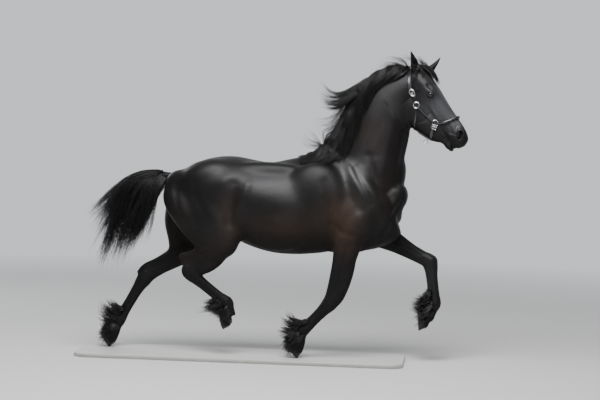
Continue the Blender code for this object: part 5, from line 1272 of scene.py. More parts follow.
def mane_hair(skin, rng):
    """The mane: locks in layers from the crest, swept back along the neck and down its right side."""
    table = np.array(MANE_FALL[::-1])
    t = np.linspace(0, 1, 14)[None]
    parts = []
    for count, fall, lift in MANE_LAYERS:
        u = (0.03 + 0.97 * (np.arange(count) + rng.uniform(0, 1, count)) / count)[:, None]
        full = np.minimum(u / 0.22, 1)
        back = np.interp(u, table[:, 0], table[:, 1]) * rng.uniform(0.85, 1.12, (count, 1))
        back = back * (1 - (1 - full) * rng.uniform(0.0, 0.6, (count, 1)))
        down = np.interp(u, table[:, 0], table[:, 2]) * fall * rng.uniform(0.80, 1.08, (count, 1))
        root = rng.uniform(-0.016, 0.014, (count, 1))
        bow = rng.normal(0, 0.014, (count, 1))
        hump = lift * np.minimum(t * 5, 1) + 0.012 * np.sin(math.pi * np.minimum(t * 1.6, 1))
        hump = hump * full - 0.003 * (t == 0)
        drop = root * (1 - t) + (down * t**1.25 + bow * np.sin(math.pi * t)) * np.minimum(t * 8, 1)
        guides = neck_skin(u - back * t, drop, hump)
        guides += np.minimum(u - back * t, 0)[..., None] * (1.30, 0, 0.05)
        guides, normals = skin.kept_clear(guides, 0.003 + 0.6 * lift * full[:, 0])
        roots = np.concatenate([0.05 + 0.8 * u, 0.5 + root * 4], 1)
        parts.append(strands(guides, normals, roots, rng, MANE_STRANDS, 0.020, 0.011, 10, 0.60, 0.007))
    return parts


def curved_hair(table, skin, rng, copies, jitter, count, spread, clear=0.005, facing=(0.1, -1, 0.35)):
    """Locks round curves of four control points, each curve in some copies shifted at random."""
    table = np.repeat(np.array(table, float), copies, 0)
    table = table + rng.normal(0, jitter, table.shape) * np.array([0.5, 0.8, 1.1, 1.5])[:, None]
    x, y, z = table[:, 0].T
    roots = np.stack([(x + 1.3) / 3, (z + y) / 2.6], -1)
    guides, _ = skin.kept_clear(bezier(table.transpose(1, 0, 2), 14), clear)
    for guide in guides:
        guide[0] = skin.over(guide[0], -0.004)[0]
    normals = np.broadcast_to(unit(np.array(facing, float)), guides.shape)
    return strands(guides, normals, roots, rng, count, spread, spread, 12, 0.75, 0.007, 0.50)


def tail_hair(rng):
    """The tail: locks between the rows of its table, out of the dock, over and down to their tips."""
    rows = np.array([(place, *bend, *hand, *tip) for place, bend, hand, tip in TAIL])
    rows = np.stack(columns_at(rows, rng.uniform(0, len(rows) - 1, TAIL_LOCKS)), -1)
    dock = np.array(DOCK, float)
    root = np.stack(columns_at(dock, rows[:, 0] * (len(dock) - 1)), -1)
    turn = rng.uniform(-0.6, 3.74, TAIL_LOCKS)
    root += np.stack([0 * turn, np.cos(turn) * 0.020, np.sin(turn) * 0.018], -1)
    shift = rng.normal(0, 1, (TAIL_LOCKS, 3)) * (0.034, 0.036, 0.040)
    side = np.cos(turn)[:, None] * (0, 0.035, 0)
    bend, hand, tip = rows[:, 1:4], rows[:, 4:7], rows[:, 7:10]
    curve = [root, bend + side + shift * 0.35, hand + side + shift * 0.8, tip + shift * (0.7, 1.0, 0.9)]
    guides = bezier(curve, 16)
    swing = np.sin(np.linspace(0, 1, 16)[None] * 7 + turn[:, None] * 3) * np.linspace(0, 0.016, 16)[None]
    guides[..., 0] += swing
    normals = np.broadcast_to(unit((0.15, -1, 0.1)), guides.shape) + np.cos(turn)[:, None, None] * 0.3
    roots = np.stack([0.05 + 0.85 * rows[:, 0], 0.5 + 0.4 * np.sin(turn)], -1)
    return strands(guides, unit(normals), roots, rng, TAIL_STRANDS, 0.022, 0.018, 11, 0.74, 0.015, 0.60)


def feather_hair(name, skin, rng):
    """The feather of one leg: locks down the back of the cannon and round the fetlock."""
    rows = np.array(FEATHERS[name])
    knee, fetlock = (np.array(JOINTS[name][k]) for k in (2, 3))
    down = unit(fetlock - knee)
    count = FEATHER_LOCKS
    step = rng.uniform(0, len(rows) - 1, count)
    rx, rz, tx, tz = columns_at(rows, step)
    side = rng.uniform(-1, 1, count)
    reach = (1 - 0.30 * np.abs(side) ** 2) * rng.uniform(0.72, 1.20, count)
    y = JOINTS[name][3][1]
    root = np.stack([rx, y + 0.036 * side, rz], -1)
    tip = root + (np.stack([tx, y + 0.075 * side, tz], -1) - root) * reach[:, None]
    tip += rng.normal(0, 1, (count, 3)) * (0.012, 0.014, 0.015)
    middle = root + (tip - root) * 0.5 + down * 0.026
    curve = [root, root + down * 0.03 + (middle - root) * 0.4, middle + (tip - middle) * 0.3, tip]
    guides = bezier(curve, 10)
    guides[..., 2] = np.maximum(guides[..., 2], 0.004)
    guides, normals = skin.kept_clear(guides, 0.003)
    out = unit(np.stack([0 * side - 0.4, side + 0.01, 0 * side + 0.2], -1))[:, None]
    roots = np.stack([0.1 + 0.8 * step / (len(rows) - 1), 0.5 + 0.4 * side], -1)
    normals = unit(normals * 0.4 + out)
    return strands(guides, normals, roots, rng, FEATHER_STRANDS, 0.016, 0.012, 7, 0.66, 0.008, 0.6)


def skirt_hair(name, skin, rng):
    """The hair that hangs from the pastern over the hoof, all round it, and behind down to the ground."""
    fetlock, coronet = (np.array(JOINTS[name][k]) for k in (3, 4))
    axes = hoof_axes(name)
    ahead, up = axes[:, 0], axes[:, 2]
    turn, c, s = (v[:, None] for v in circle(SKIRT_LOCKS, rng.uniform(0, 1, SKIRT_LOCKS)))
    out = c * ahead + s * np.array([0.0, 1.0, 0.0])
    high = rng.uniform(0.10, 0.95, (SKIRT_LOCKS, 1))
    root = coronet + (fetlock - coronet) * high + out * 0.030
    length = (0.080 - 0.010 * c + 0.040 * high) * rng.uniform(0.75, 1.15, (SKIRT_LOCKS, 1))
    edge = coronet + out * np.where(c > 0, 0.060, 0.056) - up * 0.006
    tip = edge - up * length * 0.85 + out * (0.020 + 0.007 * rng.normal(0, 1, (SKIRT_LOCKS, 1)))
    tip += rng.normal(0, 0.006, tip.shape) - clipped(0.3 - c) * (0.006, 0.0, 0.045)
    curve = [root, (root + edge) / 2 + out * 0.026, edge + out * 0.018, tip]
    guides = bezier(curve, 9)
    guides[..., 2] = np.maximum(guides[..., 2], 0.003)
    guides, _ = skin.kept_clear(guides, 0.002)
    roots = np.concatenate([turn / 7, 0.5 + 0.4 * high], 1)
    normals = np.broadcast_to(out[:, None], guides.shape)
    return strands(guides, normals, roots, rng, SKIRT_STRANDS, 0.011, 0.006, 7, 0.55, 0.005, 0.7)


def lie(points):
    """The way the short coat lies: back and down on the trunk, down the neck, the legs and the face."""
    x, _, z = points.T
    s, _, t = in_head(points).T
    way = np.broadcast_to([-0.85, 0.0, -0.5], points.shape).copy()
    way[(z > TRUNK_TOP) & (x > 0.55)] = (-0.55, 0.0, -0.8)
    way[z < LEG_TOP] = (0.0, 0.0, -1.0)
    for joints in JOINTS.values():
        joints = np.array(joints)
        for a, b in zip(joints[1:-1], joints[2:]):
            near = line_distance(points, [a, b]) < 0.085
            way[near & (z < 0.72)] = unit(b - a)
    way[(s > 0.02) & (t > -0.30) & (z > 1.45)] = HEAD_AXES[:, 0]
    return way


def short_hair(thing, rng):
    """Tufts of short coat where it breaks the form: jaw, throat, breast, belly, buttocks, legs and ears."""
    points = coordinates(thing) - (0, 0, GROUND)
    normals = point_normals(thing)
    x, y, z = points.T
    s, _, t = in_head(points).T
    on_head = (s > -0.03) & (t > -0.31) & (z > 1.45)
    want = np.zeros(len(points))
    want[(normals[:, 2] < -0.55) & (z > LEG_TOP) & ~on_head] = 0.5
    want[(z < LEG_TOP)] = 0.35
    want[(z > LEG_TOP) & (x > 1.02) & (z < 1.3)] = 0.30
    want[(z > 0.8) & (x < -0.42) & (z < 1.22)] = 0.30
    want[(z > TRUNK_TOP) & ~on_head & (normals[:, 0] > 0.6)] = 0.5
    want[on_head & (normals @ HEAD_AXES[:, 2] < -0.35)] = 0.16
    want[on_head & (s > 0.60)] = 0.0
    want[~on_head & (np.abs(y) < 0.05) & (normals[:, 2] > 0.4) & (z > 1.2)] = 0.35
    for sign in SIDES:
        base, tip = (np.array(p) for p in EARS[sign][:2])
        span = tip - base
        share = (points - base) @ span / (span @ span)
        on_ear = (np.linalg.norm(points - base - share[:, None] * span, axis=1) < 0.042) & (share > 0.12)
        want[on_ear & (share < 1.1)] = 0.5
    pick = rng.choice(len(points), SHORT_TUFTS, replace=False, p=want / want.sum())
    at, up = points[pick], normals[pick]
    way = lie(at)
    for sign in SIDES:
        base, tip = (np.array(p) for p in EARS[sign][:2])
        near = np.linalg.norm(at - (base + tip) / 2, axis=1) < 0.075
        way[near] = unit(tip - base)
    way = unit(way - (way * up).sum(1, keepdims=True) * up + rng.normal(0, 0.12, at.shape))
    small = on_head[pick] | (at[:, 2] > 1.95)
    length = np.where(small, 0.007, np.where(at[:, 2] < LEG_TOP, 0.018, 0.014))
    length = length * rng.uniform(0.7, 1.3, len(at))
    share = np.linspace(0, 1, 4)[None, :, None]
    paths = at[:, None] - up[:, None] * 0.0012 + length[:, None, None] * (
        way[:, None] * share + up[:, None] * (0.22 * share - 0.02 * share**2)
    )
    place = np.stack([(at[:, 0] + 1.2) / 2.9, 0.5 + np.arctan2(at[:, 1], 1.15 - at[:, 2]) / 6.6], -1)
    return paths, np.broadcast_to(up[:, None], paths.shape), place


def whiskers(skin, rng):
    """Lashes of the upper lids and the long fine hairs of lips and chin."""
    guides, ups = [], []
    for sign in SIDES:
        for share in np.linspace(0.25, 2.7, LASHES):
            ds, dt = almond(share)
            root = head_point(EYE[0] + ds, EYE[1] + 0.0215, EYE[2] + dt, sign)
            out = HEAD_AXES @ unit(np.array([0.30 * math.cos(share), sign * 1.0, 0.10]))
            reach = 0.017 * rng.uniform(0.8, 1.1)
            guides.append([root, root + out * reach * 0.5, root + out * reach - HEAD_AXES[:, 2] * 0.006])
            ups.append([HEAD_AXES[:, 2]] * 3)
        for _ in range(WHISKERS):
            s, t = rng.uniform(0.565, 0.650), rng.uniform(-0.150, -0.030)
            at, normal = skin.over(head_point(s, 0.05, t, sign), -0.001)
            way = unit(normal + HEAD_AXES[:, 0] * 0.5 - HEAD_AXES[:, 2] * 0.6 + rng.normal(0, 0.2, 3))
            reach = rng.uniform(0.015, 0.038)
            guides.append([at, at + way * reach * 0.5, at + way * reach - HEAD_AXES[:, 2] * 0.004])
            ups.append([normal] * 3)
    guides, ups = np.array(guides), np.array(ups)
    t = np.linspace(0, 1, 5)[None].repeat(len(guides), 0)
    place = np.stack([rng.uniform(0.1, 0.9, len(guides)), rng.uniform(0.1, 0.9, len(guides))], -1)
    return resampled(guides, t), resampled(ups, t), place


# The halter: straps laid on the skin, rings, buckles, stitching


def strap(skin, guide, width, thick, lift, steps=6, rounded=False):
    """A strap laid over the skin along a guide: a rolled one is a tube, a flat one a plate with soft edges.

    Its section is (sgn cos |cos|^p width / 2, sgn sin |sin|^p thick / 2), p being 1 for a rolled one.
    """
    spots = [skin.over(p, lift + thick / 2) for p in smooth_rows(guide, steps)]
    centre, out = (np.array(v) for v in zip(*spots))
    for _ in range(3 * steps):
        out[1:-1] = unit(out[:-2] + 2 * out[1:-1] + out[2:])
        centre[1:-1] += (centre[:-2] + centre[2:] - 2 * centre[1:-1]) * 0.12
    ahead = unit(np.gradient(centre, axis=0))
    side = unit(np.cross(ahead, out))
    up = np.cross(side, ahead)
    _, c, s = circle(20, 0.5)
    power = 1.0 if rounded else 0.34
    c, s = signed_power(c, power) * width / 2, signed_power(s, power) * thick / 2
    rings = centre[:, None] + c[None, :, None] * side[:, None] + s[None, :, None] * up[:, None]
    return outward(capped(rings)), centre, side, up


def wire(path, radius, lean, closed=True, sides=14, flat=1.0):
    """A bar swept along a path that lies square to lean, with its ends rounded off when it isn't closed."""
    path = np.asarray(path, float)
    ahead = np.roll(path, -1, 0) - np.roll(path, 1, 0) if closed else np.gradient(path, axis=0)
    ahead = unit(ahead)
    side = unit(np.cross(ahead, lean))
    up = np.cross(side, ahead)
    _, c, s = circle(sides)
    thick = np.full(len(path), radius)
    if not closed:
        end = np.minimum(np.arange(len(path)), np.arange(len(path))[::-1]) / 2.0
        thick = radius * np.sqrt(np.clip(1 - (1 - clipped(end + 0.08)) ** 2, 0.02, 1))
    rings = path[:, None] + thick[:, None, None] * (
        c[None, :, None] * side[:, None] * flat + s[None, :, None] * up[:, None]
    )
    return outward(looped(rings) if closed else capped(rings))


def flat_frame(normal, ahead):
    """The ways along and across a flat thing that lies with its normal out, and the normal."""
    normal = unit(np.asarray(normal, float))
    ahead = unit(np.asarray(ahead, float) - normal * (np.asarray(ahead) @ normal))
    return ahead, np.cross(normal, ahead), normal


def oval(centre, axes, long, short, power=1.0, count=56):
    """A ring's line: long and short half lengths, squarer for a power below one."""
    ahead, side, _ = axes
    c, s = (signed_power(v, power)[:, None] for v in circle(count)[1:])
    return centre + c * ahead * long + s * side * short


def stitches(centre, side, up, width, thick, edge=0.0022, pitch=0.0042):
    """Two rows of thread along a strap: capsules pitch apart, each 0.0028 long, edge in from the border."""
    far = np.concatenate([[0], np.cumsum(np.linalg.norm(np.diff(centre, axis=0), axis=1))])
    forms = []
    for at in np.arange(0.006, far[-1] - 0.006, pitch):
        mid, across, out = (
            np.array([np.interp(at, far, column) for column in rows.T]) for rows in (centre, side, up)
        )
        ahead = unit(np.cross(out, across))
        for hand in (-1, 1):
            seat = mid + across * hand * (width / 2 - edge) + out * thick / 2
            path = seat + ahead * np.array([-0.0014, -0.0007, 0.0007, 0.0014])[:, None]
            lift = out * np.array([-0.0003, 0.00025, 0.00025, -0.0003])[:, None]
            forms.append(wire(path + lift, 0.00042, out, False, 6))
    return forms


# Halter guides on the right side, in the head's frame (s, y, t); y is mirrored for the left
CROWN = [(0.223, 0.11, -0.123), (0.186, 0.11, -0.114), (0.150, 0.11, -0.106), (0.105, 0.11, -0.090),
         (0.060, 0.10, -0.070), (0.023, 0.09, -0.046), (-0.005, 0.07, -0.022), (-0.018, 0.035, -0.006),
         (-0.022, 0.0, 0.004)]
CHEEK = [(0.260, 0.10, -0.128), (0.305, 0.10, -0.119), (0.355, 0.10, -0.108), (0.404, 0.09, -0.094)]
NOSE = [(0.437, 0.08, -0.080), (0.453, 0.08, -0.050), (0.462, 0.075, -0.010), (0.466, 0.06, 0.025),
        (0.468, 0.035, 0.050), (0.469, 0.0, 0.060)]
CHIN = [(0.440, 0.08, -0.118), (0.452, 0.075, -0.142), (0.470, 0.060, -0.168), (0.488, 0.035, -0.195),
        (0.496, 0.0, -0.204)]
THROAT = [(0.256, 0.10, -0.144), (0.296, 0.09, -0.172), (0.326, 0.075, -0.205), (0.352, 0.045, -0.245),
          (0.362, 0.0, -0.258)]
JAW_STRAP = [(0.392, 0.0, -0.250), (0.420, 0.0, -0.240), (0.450, 0.0, -0.228), (0.480, 0.0, -0.214)]
UPPER_RING = (0.242, 0.10, -0.129)
LOWER_RING = (0.422, 0.08, -0.088)
BUCKLE = (0.157, 0.11, -0.107)


# Half the width of the cheeks' rings, the straps' gap from the skin, and the width and thickness of straps
RING = 0.0205
STRAP_GAP = 0.0015
FLAT_STRAP = (0.020, 0.0045)
ROLLED_STRAP = (0.0125, 0.0125)


def whole_guide(half):
    """A strap that runs over from the right side to the left, from half of its guide."""
    return [head_point(*p, -1) for p in half] + [head_point(*p) for p in half[-2::-1]]


def bar(at, way, low, high, count, radius, lean, bow=0.0, reach=1.0):
    """A thin bar from low to high along a way, bowed off the skin by bow * (1 - (k / reach)^2)."""
    path = [at + way * k + lean * bow * (1 - (k / reach) ** 2) for k in np.linspace(low, high, count)]
    return wire(path, radius, lean, False, 12)


def halter_pieces(skin):
    """Every strap, ring and buckle of the halter as an object, by the node that it replaces."""
    forms, seams = {}, []

    def laid_on(name, guide, width, thick, rounded=False, sewn=False):
        form, centre, side, up = strap(skin, guide, width, thick, STRAP_GAP, 8, rounded)
        forms.setdefault(name, []).append(form)
        if sewn:
            seams.extend(stitches(centre, side, up, width, thick))

    for sign, side in SIDES.items():
        laid_on("halter_cheek_" + side, [head_point(*p, sign) for p in CHEEK], *ROLLED_STRAP, rounded=True)
        for name, place, radius in (("upper", UPPER_RING, 0.0036), ("lower", LOWER_RING, 0.0032)):
            at, normal = skin.over(head_point(*place, sign), radius + STRAP_GAP)
            axes = flat_frame(normal, HEAD_AXES[:, 0])
            forms["halter_%s_ring_%s" % (name, side)] = [wire(oval(at, axes, RING, RING), radius, normal)]
        at, normal = skin.over(head_point(0.440, 0.08, -0.112, sign), 0.0100)
        axes = flat_frame(normal, head_point(*CHIN[1], sign) - head_point(*CHIN[0], sign))
        ahead, across, _ = axes
        forms["halter_lower_ring_" + side] += [
            wire(oval(at, axes, 0.0150, 0.0185, 0.35), 0.0021, normal),
            bar(at, across, -0.0180, 0.0180, 9, 0.0018, normal),
            bar(at, ahead, -0.001, 0.016, 9, 0.0015, normal, 0.0026, 0.016),
        ]
        at, normal = skin.over(head_point(*BUCKLE, sign), 0.0110)
        axes = flat_frame(normal, HEAD_AXES[:, 0])
        ahead, across, _ = axes
        forms["halter_buckle_" + side] = [
            wire(oval(at, axes, 0.0250, 0.0165), 0.0056, normal, flat=0.75),
            bar(at, across, -0.0150, 0.0150, 9, 0.0018, normal),
            bar(at, ahead, 0.0, 0.026, 11, 0.0014, normal, 0.0045, 0.027),
        ]
    laid_on("halter_crown", whole_guide(CROWN), *FLAT_STRAP, sewn=True)
    laid_on("halter_nose", whole_guide(NOSE), 0.0190, 0.0160, rounded=True)
    laid_on("halter_chin", whole_guide(CHIN), *FLAT_STRAP, sewn=True)
    laid_on("halter_throat", whole_guide(THROAT), 0.0125, 0.0045)
    laid_on("halter_jaw", [head_point(*p) for p in JAW_STRAP], *FLAT_STRAP, sewn=True)
    at, normal = skin.over(head_point(0.473, 0.0, -0.230), 0.026)
    axes = flat_frame(HEAD_AXES[:, 1], normal)
    forms["halter_lead_ring"] = [wire(oval(at, axes, 0.0150, 0.0150), 0.0028, HEAD_AXES[:, 1])]
    pieces = {}
    for node, parts in forms.items():
        pieces[node] = meshed(node.replace("halter", "fine"), *joined(parts))
    pieces["stitches"] = meshed("fine_stitches", *joined(seams))
    return pieces


# Hooves and base


# In the hoof's own frame: where its crown meets the leg, and its wall's rings from the ground up, each
# (middle x, level, reach to the toe, reach to the heel, half width)
CORONET = np.array([-0.020, 0, 0.068])
HOOF_WALL = [
    (-0.004, 0.004, 0.076, 0.064, 0.0655),
    (-0.009, 0.024, 0.068, 0.060, 0.063),
    (-0.018, 0.058, 0.054, 0.048, 0.055),
]
# The sole: its middle x, toe, heel, half width and greatest dip, its rings, and its level on the unwrap
SOLE_X, SOLE_TOE, SOLE_HEEL, SOLE_HALF, SOLE_DIP = -0.004, 0.072, 0.062, 0.063, 0.010
SOLE_RINGS = (0.985, 0.94, 0.885, 0.86, 0.80, 0.70, 0.58, 0.46, 0.34, 0.22, 0.10)
SOLE_LEVEL = -0.010
HOOF_SIDES, BASE_SIDES = 72, 120


def hoof_axes(name):
    """The frame of a hoof: its own x forward and z up, as columns."""
    return turned(HOOF_TURN[name], 0)


def hoof_piece(name):
    """A hoof: its wall with growth rings as a slow ripple, and the sole and frog underneath.

    The sole dips by SOLE_DIP * (1 - (r / 0.86)^4) inside the wall; the frog is a wedge 0.5 * (0.03 - x) wide.
    """
    turn, c, s = circle(HOOF_SIDES)
    levels = np.linspace(0, 1, 26)
    x, level, toe, heel, half = (
        np.interp(levels, np.linspace(0, 1, 3), column)[:, None] for column in np.array(HOOF_WALL).T
    )
    levels = levels[:, None]
    ripple = 0.0005 * np.sin(levels * 60) * (levels < 0.9) - 0.0022 * (levels > 0.97)
    px = x + np.where(c > 0, toe + ripple, heel + ripple) * c
    dent = 1 - 0.10 * np.exp(-(((turn - math.pi) / 0.16) ** 2))
    slope = 0.30 * (px - x) * levels**2
    wall = np.stack([px * dent, (half + ripple) * s + 0 * px, level + slope], -1)
    sole = []
    for r in SOLE_RINGS:
        px = SOLE_X + np.where(c > 0, SOLE_TOE, SOLE_HEEL) * c * r * (dent if r > 0.8 else 1)
        py = SOLE_HALF * s * r
        dip = 0.0 if r > 0.95 else 0.0015 if r > 0.88 else SOLE_DIP * (1 - (r / 0.86) ** 4)
        wide = np.clip(0.50 * (0.030 - px), 0, 0.024)
        frog = clipped(1 - (np.abs(py) / np.maximum(wide, 0.0005)) ** 4) * (px < 0.028) * (r <= 0.86)
        cleft = np.exp(-((py / 0.004) ** 2)) * (px < -0.01)
        sole.append(np.stack([px, py, dip - 0.0075 * frog * (1 - 0.8 * cleft) + 0 * px], -1))
    points, faces = capped(np.concatenate([sole[::-1], wall]))
    level = points[:, 2].copy()
    level[: len(sole) * HOOF_SIDES] = SOLE_LEVEL
    level[-2] = SOLE_LEVEL
    around = np.arctan2(points[:, 1], points[:, 0]) * 0.06
    placed = (points - CORONET) @ hoof_axes(name).T + JOINTS[name][4]
    hoof = meshed("horn_" + name, *outward((placed, faces)))
    mapped(hoof, "Wall", np.stack([around, level], -1))
    return hoof


def plinth():
    """The base with its corners and upper edge rounded: a stack of rounded rectangles."""
    length, width, height = BASE_SIZE
    _, c, s = circle(BASE_SIDES, 0.5)
    middle = np.stack([np.sign(c), np.sign(s)], -1) * (np.array([length, width]) / 2 - BASE_CORNER)
    rings = []
    for k, a in enumerate([0.0, *np.linspace(0, math.pi / 2, 8)]):
        level = height - BASE_EDGE + BASE_EDGE * math.sin(a) if k else 0.0
        radius = BASE_CORNER - BASE_EDGE * (1 - math.cos(a))
        flat = middle + radius * np.stack([c, s], -1)
        rings.append(np.column_stack([flat, np.full(BASE_SIDES, level - GROUND)]))
    return meshed("plinth", *outward(capped(np.array(rings))))


# Materials


class Value:
    """A socket of a node; sums, products and powers of it are Math nodes."""

    def __init__(self, nodes, socket):
        self.nodes, self.socket = nodes, socket

    def math(self, operation, other=0.0, swapped=False, clamp=False):
        """One Math node of this value and another."""
        pair = (other, self) if swapped else (self, other)
        settings = {"operation": operation, "use_clamp": clamp}
        return self.nodes.add("ShaderNodeMath", settings, dict(enumerate(pair)))

    def __add__(self, other):
        return self.math("ADD", other)

    def __sub__(self, other):
        return self.math("SUBTRACT", other)

    def __rsub__(self, other):
        return self.math("SUBTRACT", other, True)

    def __mul__(self, other):
        return self.math("MULTIPLY", other)

    def __truediv__(self, other):
        return self.math("DIVIDE", other)

    def __pow__(self, other):
        return self.math("POWER", other)

    __radd__, __rmul__ = __add__, __mul__

    def clipped(self):
        """This value held between 0 and 1."""
        return self.math("ADD", 0.0, clamp=True)

    def above(self, low, high):
        """0 below low, 1 over high and straight between them."""
        return ((self - low) / (high - low)).clipped()


class Nodes:
    """The nodes of a material, or of the sky."""

    def __init__(self, holder):
        holder.use_nodes = True
        self.tree = holder.node_tree

    def add(self, kind, settings=None, values=None, output=0):
        """Any node: its settings first, then what its sockets hold or are linked to."""
        node = self.tree.nodes.new(kind)
        for key, value in (settings or {}).items():
            setattr(node, key, value)
        for key, value in (values or {}).items():
            if isinstance(value, Value):
                self.tree.links.new(value.socket, node.inputs[key])
            else:
                node.inputs[key].default_value = value
        return Value(self, node.outputs[output])

    def where(self, output="Object"):
        """The coordinates that a pattern is read from."""
        return self.add("ShaderNodeTexCoord", output=output)

    def part(self, vector, axis):
        """One number of a vector: 0 for x, 1 for y."""
        return self.add("ShaderNodeSeparateXYZ", None, {0: vector}, axis)

    def scaled(self, vector, scale, tip=0.0, turn=0.0):
        """Coordinates tipped by an angle about Y and turned about Z, then scaled along each way."""
        angles = (0.0, math.radians(tip), math.radians(turn))
        return self.add("ShaderNodeMapping", None, {"Vector": vector, "Rotation": angles, "Scale": scale})

    def stretched(self, scale, tip=0.0, turn=0.0):
        """Object coordinates tipped, turned and scaled."""
        return self.scaled(self.where(), scale, tip, turn)

    def mixed(self, share, first, second):
        """A colour between two, by share."""
        first, second = ((*c, 1.0) if isinstance(c, tuple) else c for c in (first, second))
        return self.add("ShaderNodeMix", {"data_type": "RGBA"}, {0: share, 6: first, 7: second}, 2)

    def attribute(self, name):
        """A number stored at the points of the mesh."""
        return self.add("ShaderNodeAttribute", {"attribute_name": name}, output="Fac")

    def noise(self, scale, detail=2.0, where=None):
        """Noise from 0 to 1; with no place given it is read from Object coordinates."""
        values = {"Vector": where or self.where(), "Scale": scale, "Detail": detail}
        return self.add("ShaderNodeTexNoise", None, values, "Fac")

    def bumped(self, height, distance, strength=1.0, under=None):
        """A bump of a height in units of distance metres, over another bump or none."""
        values = {"Height": height, "Distance": distance, "Strength": strength}
        if under:
            values["Normal"] = under
        return self.add("ShaderNodeBump", None, values)


class Look(Nodes):
    """A material being made round one Principled shader."""

    def __init__(self, name, **values):
        self.material = bpy.data.materials.new(name)
        super().__init__(self.material)
        self.shader = self.tree.nodes["Principled BSDF"]
        for key, value in values.items():
            self.shader.inputs[key.replace("_", " ")].default_value = value

    def set(self, **values):
        """Links values into the shader's own sockets."""
        for key, value in values.items():
            self.tree.links.new(value.socket, self.shader.inputs[key.replace("_", " ")])
        return self.material


def coat_look():
    """Black summer coat: fine streaks along the lie of the hair, brown where faded, bare on the muzzle, with
    a painted pale grey highlight on the face and muzzle.
    """
    look = Look("coat", Specular_IOR_Level=0.13, Coat_Roughness=0.42, Coat_IOR=1.45)
    names = ("warm", "head", "leg", "bare", "shine", "dull")
    warm, head, leg, bare, shine, dull = (look.attribute(name) for name in names)
    patchy = look.noise(7.0, 4.0)
    fine = look.noise(60.0, 3.0)
    share = (warm * (0.55 + 0.9 * patchy)).clipped()
    black = look.mixed(fine, (0.0042, 0.0039, 0.0041), (0.0088, 0.0081, 0.0083))
    brown = look.mixed(fine, (0.0190, 0.0105, 0.0068), (0.0360, 0.0210, 0.0140))
    colour = look.mixed(share, black, brown)
    colour = look.mixed(bare, colour, (0.0062, 0.0056, 0.0058))
    # Painted highlight: the face and muzzle colour is lifted towards pale grey where the head's shine spots
    # lie, half as much on bare skin
    colour = look.mixed(0.85 * shine * head * (1.0 - bare * 0.5), colour, (0.0560, 0.0560, 0.0600))
    trunk = look.noise(1.0, 2.5, look.stretched((95.0, 620.0, 620.0), -30.0))
    down = look.noise(1.0, 2.5, look.stretched((620.0, 620.0, 95.0), 0.0))
    face = look.noise(1.0, 2.5, look.stretched((120.0, 800.0, 800.0), -HEAD_PITCH, -HEAD_YAW))
    streak = trunk + leg * (down - trunk)
    streak = streak + head * (face - streak)
    pores = look.noise(900.0, 2.0)
    wrinkles = look.noise(1.0, 3.0, look.stretched((260.0, 260.0, 90.0), -HEAD_PITCH, -HEAD_YAW))
    streak = streak + bare * (0.3 * pores + 0.9 * wrinkles - streak)
    soft = look.bumped(patchy + 0.4 * look.noise(22.0, 2.0), 0.0060, 0.35)
    bump = look.bumped(streak, 0.0011, 0.55, soft)
    rough = 0.36 + 0.16 * patchy + 0.10 * (streak - 0.5) + 0.16 * bare + 0.14 * share + 0.26 * dull
    cloudy = look.noise(3.2, 3.0, look.stretched((1.0, 1.0, 2.2), -25.0)).above(0.35, 0.68)
    gloss = 0.06 + (0.85 * shine * (1.0 - 0.5 * head) + 0.12 * bare) * (0.30 + 0.6 * cloudy + 0.6 * patchy)
    return look.set(Base_Color=colour, Roughness=rough, Normal=bump, Coat_Weight=gloss)


def hair_look(name, dark, pale, roughness):
    """Long hair: each strand has a tone of its own between two colours, and a few are browner."""
    look = Look(name, Specular_IOR_Level=0.40)
    tone = look.attribute("tone")
    rust = look.noise(5.0, 2.0).above(0.48, 0.80)
    colour = look.mixed(tone**1.6, dark, pale)
    colour = look.mixed(rust * 0.5 * tone, colour, (0.0200, 0.0120, 0.0085))
    return look.set(Base_Color=colour, Roughness=roughness + 0.14 * tone)


def horn_look():
    """Black hoof horn with fine upright tubes and growth rings; paler and dusty on the sole."""
    look = Look("horn", Specular_IOR_Level=0.45)
    wall = look.add("ShaderNodeUVMap", {"uv_map": "Wall"})
    level = look.part(wall, 1)
    tubes = look.noise(1.0, 2.0, look.scaled(wall, (1300.0, 60.0, 1.0)))
    growth = look.noise(1.0, 3.0, look.scaled(wall, (12.0, 420.0, 1.0)))
    colour = look.mixed(0.6 * tubes + 0.5 * growth, (0.0045, 0.0043, 0.0043), (0.0150, 0.0135, 0.0125))
    under = 1.0 - level.above(-0.004, 0.0005)
    sole = look.mixed(look.noise(120.0, 4.0), (0.018, 0.016, 0.014), (0.055, 0.048, 0.042))
    bump = look.bumped(tubes + 1.4 * growth + 1.5 * under * look.noise(180.0, 4.0), 0.0007, 0.6)
    colour = look.mixed(under, colour, sole)
    return look.set(Base_Color=colour, Roughness=0.36 + 0.18 * growth + 0.30 * under, Normal=bump)


def eye_look():
    """An eye: a wide dark pupil, a brown iris with fine rays and a dark rim, under a wet clear surface."""
    look = Look("eye", Coat_Weight=1.0, Coat_Roughness=0.02, Specular_IOR_Level=0.5, Roughness=0.12)
    gaze = look.add("ShaderNodeUVMap", {"uv_map": "Gaze"})
    u, v = look.part(gaze, 0), look.part(gaze, 1)
    far = (u * u + v * v) ** 0.5
    turn = look.add("ShaderNodeMath", {"operation": "ARCTAN2"}, {0: v, 1: u})
    ray = look.add("ShaderNodeCombineXYZ", None, {0: turn * 9.0, 1: far * 0.25, 2: 0.0})
    rays = look.noise(2.2, 3.0, ray)
    iris = look.mixed(rays, (0.0030, 0.0016, 0.0010), (0.0120, 0.0055, 0.0028))
    iris = look.mixed(far.above(9.5, 12.8), iris, (0.0030, 0.0022, 0.0020))
    slit = ((u / 7.6) ** 2.0 + (v / 4.6) ** 2.0) ** 0.5
    colour = look.mixed(1.0 - slit.above(0.88, 1.08), iris, (0.0012, 0.0012, 0.0014))
    colour = look.mixed(far.above(13.6, 16.5), colour, (0.0040, 0.0032, 0.0030))
    return look.set(Base_Color=colour)


